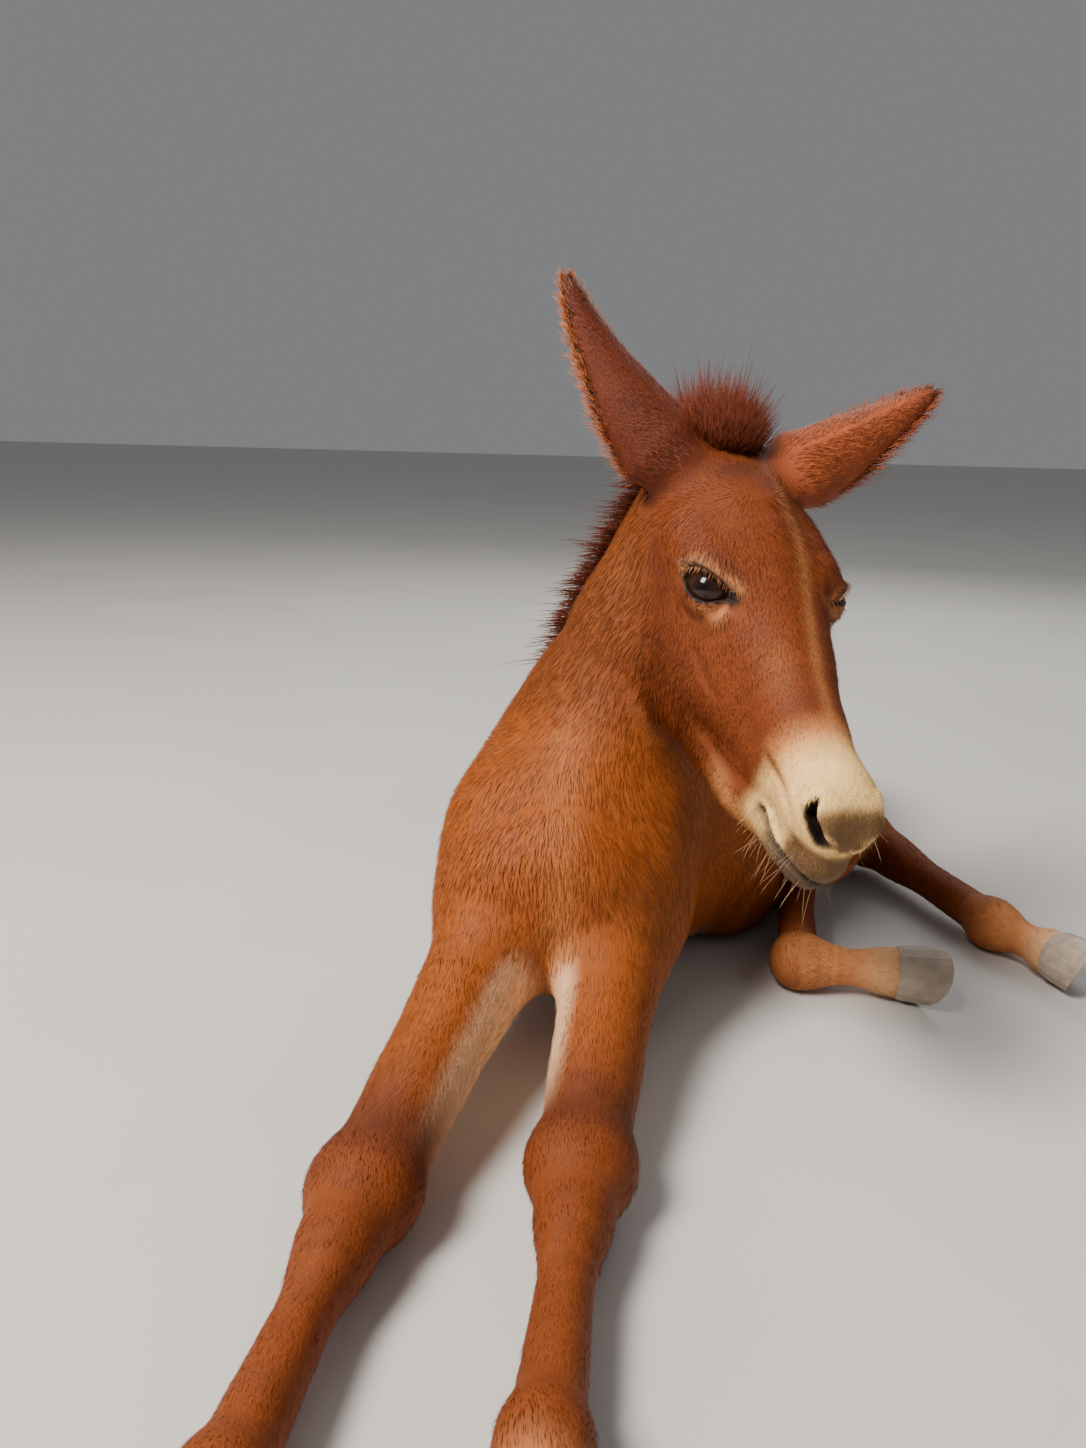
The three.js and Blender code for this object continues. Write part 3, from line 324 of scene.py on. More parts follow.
def face_form():
    cranium = blob(CRANIUM_AT, CRANIUM_SIZE)
    forehead = blob((104, 0, -54), (82, 60, 51))
    brow = pair(10, (127, 45, -33), (36, 23, 25))
    temples = pair(16, (82, 46, -50), (46, 25, 34))
    bridge = level_limb(
        (110, 0, -38, 46, 36), (190, 0, -41, 40, 30), (260, 0, -45, 29, 26), (315, 0, -43, 22, 24))
    cheeks = level_limb(
        (110, 0, -84, 57, 56), (180, 0, -84, 51, 60), (250, 0, -74, 34, 48), (310, 0, -62, 25, 30))
    jowls = pair(16, (114, 38, -117), (82, 25, 64))
    jaw = level_limb(
        (78, 0, -140, 42, 34), (165, 0, -146, 45, 34), (245, 0, -132, 35, 29), (312, 0, -106, 21, 18))
    muzzle = blob((320, 0, -52), (36, 27, 33))
    wings = pair(10, (334, 15, -44), (21, 12, 20))
    upper_lip = blob((340, 0, -78), (24, 22, 19))
    lower_lip = blob((330, 0, -101), (28, 18, 15))
    sockets = pair(4, (EYE[0] + 9, EYE[1] + 6, EYE[2] + 9), (21, 15, 16))
    whole = join(
        18, join(30, cranium, forehead, cheeks), brow, temples, bridge, jowls, jaw,
        join(12, muzzle, wings, upper_lip), lower_lip,
    )
    hollows = join(2, *(level_limb(*((x, side * y, z, r, r) for x, y, z, r in line), samples=3)
                        for line in FACE_HOLLOWS for side in (-1, 1)))

    def field(p):
        d = soft_cut(whole(p) + flesh_depth(p[:, 0]), sockets(p), 10)
        return soft_cut(d, hollows(p), 5)
    return field


FACE = face_form()

# Gaze, line through the eye's corners and height of the lids, in the head's frame, for the right eye. The
# opening's size is in parts of the eye's radius, and the left eye's is narrower and set further back.
GAZE = unit((0.52, -0.66, 0.52))
CANTHUS = unit(np.array((0.7, 0.69, 0.18)) - GAZE * np.dot((0.7, 0.69, 0.18), GAZE))
LID_UP = np.cross(GAZE, CANTHUS)
LID_OPEN = 0.88
LID_HIGH = 0.50
LID_LOW = 0.44
LID_SHELL = 21.4
LID_HALF = 1.7
LID_REACH = 60
LEFT_SQUINT = 0.42
LEFT_BACK = 0.3


def eye_centre(side):
    return np.array((EYE[0], side * EYE[1], EYE[2]), float)


def eye_local(p, side):
    """Direction from the eye's centre along its gaze, corner line and lid height, and the distance."""
    q = (p - eye_centre(side)) * np.array((1, -side, 1))
    r = np.linalg.norm(q, axis=1)
    d = q / np.maximum(r, TINY)[:, None]
    return d @ GAZE, d @ CANTHUS, d @ LID_UP, r


def almond(side, ahead, along, high):
    """The gap to the edge of the eye's almond opening, positive outside it, in parts of the radius."""
    squint, along = (LEFT_SQUINT, along + LEFT_BACK) if side > 0 else (1.0, along)
    s = np.clip(along / LID_OPEN, -1, 1)
    top = LID_HIGH * squint * np.sqrt(np.maximum(1 - s * s, 0)) * (1 - 0.18 * s)
    low = -LID_LOW * squint * np.maximum(1 - s * s, 0)
    edge = np.maximum(high - top, low - high)
    return np.maximum(np.maximum(edge, np.abs(along) - LID_OPEN), -ahead)


def face_with_eyes(p):
    d = FACE(p)
    for side in (-1, 1):
        q = p - eye_centre(side)
        near = np.nonzero((q * q).sum(1) < LID_REACH ** 2)[0]
        if not len(near):
            continue
        ahead, along, high, r = eye_local(p[near], side)
        shell = np.abs(r - LID_SHELL) - LID_HALF
        shell = np.maximum(shell, -(ahead + 0.2) * 20)
        e = soften(d[near], shell, 5)
        hole = np.maximum(almond(side, ahead, along, high) * EYE_RADIUS, 17 - r)
        hole = np.maximum(hole, r - 45)
        d[near] = np.maximum(e, -hole)
    return d


# The nostrils, commas cut into the muzzle, and the line of the mouth from its corner on, as x and z.
NOSTRIL = ((332, 23, -29), (337, 26, -37), (346, 24, -41), (353, 16, -48), (357, 9, -50))
NOSTRIL_SIZES = ((1.2, 8), (4.2, 15), (4.8, 16), (4.2, 14), (1.4, 8))
MOUTH = ((288, -101), (316, -99), (331, -95), (344, -90), (357, -88.5), (363, -90))
MOUTH_CORNER = 287


def nostril_form():
    sides = []
    for side in (-1, 1):
        out = (0.5, 0.8 * side, 0.2)
        line = [((x, side * y, z), w, d, out) for (x, y, z), (w, d) in zip(NOSTRIL, NOSTRIL_SIZES)]
        sides.append(limb(line, 4))
    return join(1, *sides)


NOSTRILS = nostril_form()


def mouth_level(x):
    return np.interp(x, *zip(*MOUTH))


def head_form(p):
    d = face_with_eyes(p)
    front = np.nonzero(p[:, 0] > MOUTH_CORNER - 20)[0]
    if len(front):
        q = p[front]
        e = d[front]
        hole = NOSTRILS(q)
        h = np.maximum(4 - np.abs(e + hole), 0) / 4
        rim = bell(hole, 4.0, 3.0)
        e = np.maximum(e - 1.9 * rim, -hole) + h * h
        line = np.abs(q[:, 2] - mouth_level(q[:, 0]))
        fade = np.clip((q[:, 0] - MOUTH_CORNER) / 12, 0, 1)
        groove = 4.2 * bell(np.maximum(line, 1.2), 1.2, 2) - 0.9 * bell(line, 5.5, 2.4)
        d[front] = e + groove * fade * (np.abs(e) < 12)
    return d


# The legs: half widths and depths are those of a foal of this size.
FORE_SIZES = {
    "elbow": (52, 60), "arm": (46, 54), "forearm": (38, 41), "above_knee": (35, 36), "knee": (39, 36),
    "below_knee": (30, 31), "cannon": (20, 22), "above_fetlock": (22, 24), "fetlock": (26, 29),
    "pastern": (20.5, 21), "coronet": (26, 27),
}
HIND_SIZES = {
    "hip": (74, 96), "thigh": (60, 88), "stifle": (46, 60), "gaskin": (34, 42), "above_hock": (28, 34),
    "hock": (31, 37), "below_hock": (27, 31), "cannon": (21, 23), "above_fetlock": (22, 24),
    "fetlock": (27, 28), "pastern": (20, 21), "coronet": (26, 27),
}
FORE_LEGS = {
    "right": {
        "elbow": (-32, 872, 98), "knee": (-110, 608, 35), "fetlock": (-146, 398, 27),
        "coronet": (-160, 322, 26), "toe_up": (0, 0, 1),
    },
    "left": {
        "elbow": (72, 884, 98), "knee": (34, 637, 35), "fetlock": (10, 428, 27),
        "coronet": (2, 351, 26), "toe_up": (0, 0, 1),
    },
}
HIND_LEGS = {
    "right": {
        "hip": (240, 1340, 100), "stifle": (205, 1080, 66), "hock": (300, 1190, 38),
        "fetlock": (258, 966, 26), "coronet": (348, 948, 26), "toe_up": (-0.1, -0.75, 0.65),
    },
    "left": {
        "hip": (292, 1325, 150), "stifle": (300, 1100, 116), "hock": (410, 1275, 42),
        "fetlock": (488, 1064, 26), "coronet": (524, 994, 26), "toe_up": (-0.6, -0.3, 0.7),
    },
}


def between(a, b, t):
    return tuple(x + (y - x) * t for x, y in zip(a, b))


def run_of(a, b, sizes, stops, up=Z_UP):
    """Stations from a to b, each at its share of the way and with its named size."""
    return [(between(a, b, t), *sizes[name], up) for t, name in stops]


def fore_line(leg):
    elbow, knee, fetlock = (leg[n] for n in ("elbow", "knee", "fetlock"))
    upper = ((-0.12, "elbow"), (0.15, "arm"), (0.6, "forearm"), (0.86, "above_knee"), (1, "knee"))
    lower = ((0, "knee"), (0.2, "below_knee"), (0.5, "cannon"), (0.85, "above_fetlock"), (1, "fetlock"))
    return run_of(elbow, knee, FORE_SIZES, upper), run_of(knee, fetlock, FORE_SIZES, lower)


def hind_line(leg):
    hip, stifle, hock, fetlock = (leg[n] for n in ("hip", "stifle", "hock", "fetlock"))
    thigh = ((0, "hip"), (0.5, "thigh"), (1, "stifle"))
    gaskin = ((0, "stifle"), (0.45, "gaskin"), (0.8, "above_hock"), (1, "hock"))
    lower = ((0, "hock"), (0.22, "below_hock"), (0.55, "cannon"), (0.86, "above_fetlock"), (1, "fetlock"))
    bones = ((hip, stifle, thigh), (stifle, hock, gaskin), (hock, fetlock, lower))
    return [run_of(a, b, HIND_SIZES, stops) for a, b, stops in bones]


def pastern_line(leg, sizes):
    stops = ((0, "fetlock"), (0.55, "pastern"), (0.98, "coronet"))
    return run_of(leg["fetlock"], leg["coronet"], sizes, stops, leg["toe_up"])


# The ears: leaves rolled into cups, the convex back outwards, on a curved midrib from base to tip. Along
# the ear, from 0 to 1, its outline gives the share of the width, and its opening how many degrees the edge
# lies from the middle of the back.
EARS = {
    "right": {
        "base": head_point(14, -32, -32), "bend": (42, 925, 552), "tip": (8, 925, 648),
        "back": (0.75, -0.6, 0.1), "wide": 1.0,
    },
    "left": {
        "base": head_point(16, 32, -32), "bend": (266, 962, 520), "tip": (342, 1000, 570),
        "back": (0.1, -0.6, 0.8), "wide": 0.88,
    },
}
EAR_OUTLINE = ((0, 0.72), (0.18, 1), (0.45, 0.8), (0.7, 0.5), (0.88, 0.26), (1, 0.05))
EAR_CUP = 0.75
EAR_OPENING = ((0, 150), (0.5, 95), (1, 95))
EAR_SAMPLES = 28


def ear_half(ear, t):
    return np.maximum(EAR_WIDTH / 2 * ear["wide"] * np.interp(t, *zip(*EAR_OUTLINE)), 2)


def ear_edge(t):
    return np.radians(np.interp(t, *zip(*EAR_OPENING)))


def ear_round(half, across, back):
    """A point's distance from the middle of the ear's cup, 1 on the cup itself."""
    return np.sqrt((across / half) ** 2 + (back / half / EAR_CUP) ** 2)


def ear_rib(ear):
    t = np.linspace(0, 1, EAR_SAMPLES)[:, None]
    b, c, e = (np.array(ear[n], float) for n in ("base", "bend", "tip"))
    at = (1 - t) ** 2 * b + 2 * t * (1 - t) * c + t ** 2 * e
    axis = rows_unit(2 * (1 - t) * (c - b) + 2 * t * (e - c))
    back = square_to(axis, np.tile(np.array(ear["back"], float), (EAR_SAMPLES, 1)))
    return at, axis, back, np.cross(axis, back)


def ear_local(ear, p):
    """Each point's place along the rib, and its offsets to the side, to the back and past the rib's ends."""
    at, axis, back, side = ear_rib(ear)
    place = nearest_on(at, p)[0]
    q = p - row_at(at, place)
    aside, behind, past = ((q * row_at(rows, place)).sum(1) for rows in (side, back, axis))
    return place / (EAR_SAMPLES - 1), aside, behind, past


def ear_form(ear):
    at = ear_rib(ear)[0]
    centre = (at[0] + at[-1]) / 2
    reach = np.linalg.norm(at[-1] - at[0]) / 2 + EAR_WIDTH / 2
    foot = limb([(between(ear["base"], ear["tip"], t), EAR_WIDTH * wide, EAR_WIDTH * deep, ear["back"])
                 for t, wide, deep in ((-0.1, 0.3, 0.26), (0.06, 0.34, 0.24))])

    def field(p):
        out = np.linalg.norm(p - centre, axis=1) - reach
        near = np.nonzero(out < CULL)[0]
        if not len(near):
            return out
        q = p[near]
        t, side, back, over = ear_local(ear, q)
        half = ear_half(ear, t)
        deep = half * EAR_CUP
        k = np.sqrt((side / half) ** 2 + (back / deep) ** 2)
        slope = np.sqrt((side / half ** 2) ** 2 + (back / deep ** 2) ** 2) / np.maximum(k, TINY)
        skin = EAR_SKIN * (1 - 0.3 * t) / 2
        shell = np.abs((k - 1) / np.maximum(slope, TINY) + skin) - skin
        turn = np.abs(np.arctan2(side / half, back / deep))
        d = np.maximum(shell, (turn - ear_edge(t)) * half * 0.8)
        d = np.maximum(d, np.abs(over) - 1)
        out[near] = soften(d, foot(q), 8)
        return out
    return field


def skin_form():
    """The whole flesh as one form, with each part's own form for the coat."""
    fore = join(50, limb(TRUNK), WITHERS, limb(SHOULDER_RIGHT), limb(SHOULDER_LEFT), BREASTS)
    trunk = join(26, fore, HAUNCH, HIP, BUTTOCK)
    neck = limb(NECK, NECK_SAMPLES)
    head = placed(head_form, (180, 0, -70), 230)
    parts = {"trunk": trunk, "neck": neck, "head": head}
    for side, leg in FORE_LEGS.items():
        upper, lower = fore_line(leg)
        parts["fore_" + side] = join(14, limb(upper), limb(lower), limb(pastern_line(leg, FORE_SIZES)))
    for side, leg in HIND_LEGS.items():
        thigh, gaskin, lower = hind_line(leg)
        upper = join(30, limb(thigh), limb(gaskin))
        shin = join(14, limb(lower), limb(pastern_line(leg, HIND_SIZES)))
        parts["hind_" + side] = join(10, upper, shin)
    for side, ear in EARS.items():
        parts["ear_" + side] = ear_form(ear)

    def field(p):
        base = soften(trunk(p), neck(p), 60) + BODY_DEPTH
        whole = soften(base, head(p), 30)
        for side in ("right", "left"):
            whole = soften(whole, parts["ear_" + side](p), 14)
        for name, soft in (("fore_right", 36), ("fore_left", 36), ("hind_right", 30), ("hind_left", 30)):
            leg = soften(base, parts[name](p) + LEG_DEPTH, soft)
            whole = soften(whole, leg, 3)
        return whole
    return field, parts


SKIN, PARTS = skin_form()


# The shift from the forms' own place to the solids' frame is the place of the right eye.
eye_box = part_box("eye_right")
SHIFT = (np.array(eye_box[0]) + np.array(eye_box[1])) / 2 / MM - head_point(EYE[0], -EYE[1], EYE[2])


def to_frame(p):
    return (np.asarray(p, float) + SHIFT) * MM


def ruler(start, *spans):
    """Grid lines from the start on: each span has its end and the width of its cells."""
    marks = [np.array([float(start)])]
    for end, cell in spans:
        marks.append(np.linspace(start, end, max(round((end - start) / cell), 1) + 1)[1:])
        start = end
    return np.concatenate(marks)


# Small cells round the muzzle and the eyes, wide ones on the body.
GRID = (
    ruler(-232, (-12, BODY_CELL), (120, HEAD_CELL), (244, FACE_CELL), (352, HEAD_CELL), (566, BODY_CELL)),
    ruler(300, (598, BODY_CELL), (662, HEAD_CELL), (748, FACE_CELL), (796, HEAD_CELL), (864, FACE_CELL),
          (1012, HEAD_CELL), (1560, BODY_CELL)),
    ruler(-8, (206, BODY_CELL), (330, FACE_CELL), (384, HEAD_CELL), (436, FACE_CELL), (656, HEAD_CELL),
          (664, BODY_CELL)),
)

# The form is measured in blocks of cells first, then at the grid points of the blocks near its surface.
BLOCK = 8
FAR = 50.0
POINTS_AT_ONCE = 150000


def grid_points(index):
    return np.stack([GRID[m][index[m]] for m in range(3)], 1)


def sampled(field):
    """The form's distance at every grid point that lies near its surface, its sign elsewhere."""
    size = [len(g) for g in GRID]
    blocks = [np.minimum(np.arange(0, n + BLOCK, BLOCK), n - 1) for n in size]
    low = [GRID[m][blocks[m][:-1]] for m in range(3)]
    high = [GRID[m][blocks[m][1:]] for m in range(3)]
    shape = [len(b) - 1 for b in blocks]
    i, j, k = (a.ravel() for a in np.indices(shape))
    centre = np.stack([(low[m] + high[m])[a] / 2 for m, a in enumerate((i, j, k))], 1)
    half = np.sqrt(sum((high[m] - low[m])[a] ** 2 for m, a in enumerate((i, j, k)))) / 2
    d = field(centre)
    near = (np.abs(d) < half * 1.15 + 8).reshape(shape)
    sign = np.where(d < 0, -FAR, FAR).astype(np.float32).reshape(shape)
    spread = [np.minimum(np.arange(n) // BLOCK, shape[m] - 1) for m, n in enumerate(size)]
    value = sign[np.ix_(*spread)]
    at = np.nonzero(near[np.ix_(*spread)])
    for some in np.array_split(np.arange(len(at[0])), max(1, len(at[0]) // POINTS_AT_ONCE)):
        index = tuple(a[some] for a in at)
        value[index] = field(grid_points(index))
    under = GRID[2] < 0
    value[:, :, under] = np.maximum(value[:, :, under], 0.5)
    return value


CUBE = [(c & 1, (c >> 1) & 1, (c >> 2) & 1) for c in range(8)]


def surface(value):
    """Corners and four-sided faces of the surface where the distance changes sign."""
    inside = value < 0
    n = [s - 1 for s in value.shape]
    part = lambda a, c: a[c[0]:c[0] + n[0], c[1]:c[1] + n[1], c[2]:c[2] + n[2]]
    count = np.zeros(n, np.uint8)
    for c in CUBE:
        count += part(inside, c)
    cell = np.nonzero((count > 0) & (count < 8))
    corner = [value[cell[0] + c[0], cell[1] + c[1], cell[2] + c[2]] for c in CUBE]
    total = np.zeros((len(cell[0]), 3))
    hits = np.zeros(len(cell[0]))
    for a in range(8):
        for m in range(3):
            if CUBE[a][m]:
                continue
            b = a | (1 << m)
            cut = (corner[a] < 0) != (corner[b] < 0)
            t = corner[a] / np.where(cut, corner[a] - corner[b], 1)
            for axis in range(3):
                f = t if axis == m else CUBE[a][axis]
                g0, g1 = GRID[axis][cell[axis]], GRID[axis][cell[axis] + 1]
                total[:, axis] += np.where(cut, g0 + (g1 - g0) * f, 0)
            hits += cut
    vertices = total / hits[:, None]
    number = np.full(n, -1, np.int32)
    number[cell] = np.arange(len(cell[0]))
    faces = []
    for m in range(3):
        u, v = (m + 1) % 3, (m + 2) % 3
        first, second = [slice(1, -1)] * 3, [slice(1, -1)] * 3
        first[m], second[m] = slice(0, -1), slice(1, None)
        a, b = inside[tuple(first)], inside[tuple(second)]
        at = np.nonzero(a != b)
        flip = a[at]
        index = [x + (0 if axis == m else 1) for axis, x in enumerate(at)]
        ring = []
        for du, dv in ((0, 0), (-1, 0), (-1, -1), (0, -1)):
            moved = list(index)
            moved[u] = index[u] + du
            moved[v] = index[v] + dv
            ring.append(number[tuple(moved)])
        quad = np.stack(ring, 1)
        quad[flip] = quad[flip][:, ::-1]
        faces.append(quad[:, ::-1])
    return vertices, np.concatenate(faces)


def slope(field, p, step=0.4):
    g = np.empty_like(p)
    for m in range(3):
        e = np.zeros(3)
        e[m] = step
        g[:, m] = (field(p + e) - field(p - e)) / (2 * step)
    return g


def settled(p):
    """Corners moved onto the surface itself, with its outward direction there."""
    for _ in range(2):
        g = slope(SKIN, p)
        move = SKIN(p) / np.maximum((g * g).sum(1), 0.3)
        p = p - g * np.clip(move, -1.2, 1.2)[:, None]
    p[:, 2] = np.maximum(p[:, 2], SKIN_FLOOR)
    return p, rows_unit(slope(SKIN, p))


# Colours, as 0 to 255 values of the finished picture.
def linear(rgb):
    c = np.array(rgb, float) / 255
    return np.where(c <= 0.04045, c / 12.92, ((c + 0.055) / 1.055) ** 2.4)


CHESTNUT = linear((148, 74, 21))
BACK = linear((126, 60, 18))
NECK_BROWN = linear((126, 64, 24))
FACE_BROWN = linear((118, 53, 14))
CHEEK = linear((104, 45, 9))
# A pale tan, also laid on as a painted highlight along the bridge and on the side of the face.
TAN_AND_HIGHLIGHT = linear((224, 150, 88))
DARK_HAIR = linear((90, 37, 16))
EAR_BROWN = linear((94, 37, 9))
EAR_PINK = linear((164, 80, 42))
EAR_INSIDE = linear((150, 92, 62))
CREAM = linear((255, 208, 132))
MUZZLE_SKIN = linear((84, 54, 31))
LIP_GREY = linear((104, 84, 66))
# Painted shade inside the nostrils and along the line of the mouth.
NOSTRIL_AND_MOUTH_SHADE = linear((30, 18, 14))
LID_TAN = linear((214, 150, 96))
LID_DARK = linear((34, 20, 15))
LEG_RED = linear((124, 58, 16))
# Painted shade on the tops of the knees and in the creases behind the nostrils.
KNEE_AND_CREASE_SHADE = linear((86, 38, 16))
PALE_PINK = linear((250, 204, 158))
PASTERN = linear((198, 124, 70))
CORONET = linear((216, 160, 112))
# The dark spot on the poll; also painted shade in the fold above the eyes.
POLL_SPOT_AND_FOLD_SHADE = linear((62, 36, 26))
IRIS = linear((50, 28, 17))
PUPIL = linear((12, 8, 8))
EYE_WHITE = linear((90, 62, 48))


def toward(c, colour, amount):
    return c + (colour - c) * np.clip(amount, 0, 1)[:, None]


def bump_at(q, centre, widths):
    d = (q - np.array(centre, float)) / np.array(widths, float)
    return np.exp(-(d * d).sum(1))


def ramp(x, low, high):
    t = np.clip((x - low) / (high - low), 0, 1)
    return t * t * (3 - 2 * t)


LEG_NAMES = ("fore_right", "fore_left", "hind_right", "hind_left")
PART_NAMES = ("trunk", "neck", "head", "ear_right", "ear_left") + LEG_NAMES


def part_gaps(p):
    return np.stack([PARTS[name](p) for name in PART_NAMES], 1)


def leg_line(name):
    end, side = name.split("_")
    leg = (FORE_LEGS if end == "fore" else HIND_LEGS)[side]
    return np.array([place for joint, place in leg.items() if joint != "toe_up"], float)


def along_leg(name, p):
    """How many bones down the leg a point is, and the leg's direction there."""
    line = leg_line(name)
    place, bone = nearest_on(line, p)
    return place, rows_unit(np.diff(line, axis=0))[bone]


def head_tone(h):
    """The head's markings and the painted highlights on its bridge and face, by place in its own frame."""
    x, y, z = h[:, 0], h[:, 1], h[:, 2]
    wide = np.abs(y)
    c = np.tile(FACE_BROWN, (len(h), 1))
    c = toward(c, CHEEK, ramp(-z, 60, 120) * 0.8)
    c = toward(c, EAR_BROWN, ramp(-x, -30, 10) * 0.7)
    c = toward(c, POLL_SPOT_AND_FOLD_SHADE, 0.88 * bump_at(h, (36, -12, 0), (14, 20, 20)))
    # Painted highlights: a pale line along the ridge of the bridge, and a soft patch on the side of the
    # face.
    line = bell(y, np.interp(x, (20, 90, 160, 230, 300), (22, 24, 15, 6, 2)), 5.5)
    c = toward(c, TAN_AND_HIGHLIGHT, 0.28 * line * ramp(x, 10, 60) * (1 - ramp(x, 270, 310)) * (z > -40))
    c = toward(c, TAN_AND_HIGHLIGHT, 0.12 * bump_at(h, (225, -20, -22), (26, 10, 20)))
    c = toward(c, EAR_BROWN, 0.45 * bump_at(h, (250, -10, -20), (20, 12, 30)))
    return eye_tone(muzzle_tone(c, h, x, z, wide), h)


def muzzle_tone(c, h, x, z, wide):
    """Cream round the nostrils and the mouth's corners, dark skin on the front, grey lips; painted shade in
    the hollows.
    """
    top = ramp(z, -72, -52)
    c = toward(c, TAN_AND_HIGHLIGHT, 0.8 * ramp(x, 258, 292) * top)
    c = toward(c, CREAM, 0.95 * ramp(x, 276, 308) * top)
    c = toward(c, CREAM, 0.95 * ramp(x, 270, 292) * (1 - top) * ramp(z, -128, -104))
    c = toward(c, TAN_AND_HIGHLIGHT, 0.5 * ramp(-z, 112, 128) * ramp(x, 215, 270))
    # Painted shade along the crease behind the nostril.
    fold_x, _, fold_z, _ = zip(*FACE_HOLLOWS[2])
    crease_shade = bell(z, np.interp(x, fold_x, fold_z), 2.8) * ramp(x, 264, 280) * (1 - ramp(x, 322, 342))
    c = toward(c, KNEE_AND_CREASE_SHADE, crease_shade * (0.9 - 0.5 * ramp(x, 290, 320)) * (wide > 14))
    speckle = np.sin(1.9 * x) * np.sin(1.7 * z + 0.8 * x) * np.sin(1.3 * h[:, 1])
    c = toward(c, LIP_GREY, 0.5 * ramp(speckle, 0.15, 0.5) * ramp(x, 288, 300) * ramp(-z, 62, 76))
    slit_x, slit_y, slit_z = zip(*NOSTRIL)
    beside = wide - np.interp(x, slit_x, slit_y) - 0.8 * (z - np.interp(x, slit_x, slit_z))
    front = ramp(x, 337, 346) * (1 - 0.9 * ramp(beside, -7, -1)) * ramp(-z, 18, 25)
    front = np.maximum(front, ramp(x - 0.3 * wide, 318, 332) * ramp(-z, 56, 66))
    c = toward(c, MUZZLE_SKIN, 0.92 * front)
    c = toward(c, LIP_GREY, 0.6 * ramp(x, 335, 350) * ramp(-z, 74, 84) * (1 - ramp(-z, 86, 90)))
    c = toward(c, LIP_GREY, 0.85 * ramp(x, 300, 322) * ramp(-z, 90, 97) * (1 - ramp(-z, 112, 124)))
    # Painted shade along the mouth's line, reaching further down onto the lower lip.
    over = z - mouth_level(x)
    gap = np.where(over > 0, over, -0.5 * over)
    inside = NOSTRILS(h)
    outer = ramp(beside, -2, 2) * (z > -64) * (x > 322)
    c = toward(c, CREAM, 0.9 * bell(inside, 5.0, 3.2) * outer)
    c = toward(c, MUZZLE_SKIN, 0.5 * bell(inside, 0, 2.0))
    # Painted shade inside the nostrils.
    c = toward(c, NOSTRIL_AND_MOUTH_SHADE, 1 - ramp(inside, 0.3, 1.5))
    return toward(c, NOSTRIL_AND_MOUTH_SHADE, bell(gap, 0, 2.8) * ramp(x, MOUTH_CORNER - 3, MOUTH_CORNER + 4))


def eye_tone(c, h):
    """The rims of the lids, painted shade in the fold above them and the pale skin below."""
    for side in (-1, 1):
        ahead, along, high, r = eye_local(h, side)
        gap = almond(side, ahead, along, high) * EYE_RADIUS
        near = ramp(ahead, -0.1, 0.25) * (1 - ramp(r, 28, 40))
        above = ramp(high, -0.05, 0.2)
        # Painted shade in the fold of skin above the upper lid.
        fold = bell(gap, 7.5, 1.3) * above * (1 - ramp(np.abs(along), 0.5, 1.0))
        c = toward(c, POLL_SPOT_AND_FOLD_SHADE, 0.40 * near * fold)
        c = toward(c, LID_TAN, 0.42 * near * bell(gap, 3.8, 1.8) * above)
        below = bell(gap, 5, 3.2) * ramp(along, -0.6, 0.1) * (1 - ramp(along, 0.8, 1.2))
        c = toward(c, LID_TAN, 0.36 * near * below * (1 - above))
        c = toward(c, LEG_RED, 0.35 * near * bell(gap, 8.5, 1.2) * (1 - above))
        c = toward(c, LID_DARK, near * (1 - ramp(gap, 1.0, 2.4)))
    return c


def mixed_by_part(rows, gaps, width):
    """Each part's rows, mixed over the given width where parts meet."""
    weight = np.exp(-np.maximum(gaps - gaps.min(1)[:, None], 0) / width)
    weight /= weight.sum(1)[:, None]
    return sum(rows[name] * weight[:, i, None] for i, name in enumerate(PART_NAMES))


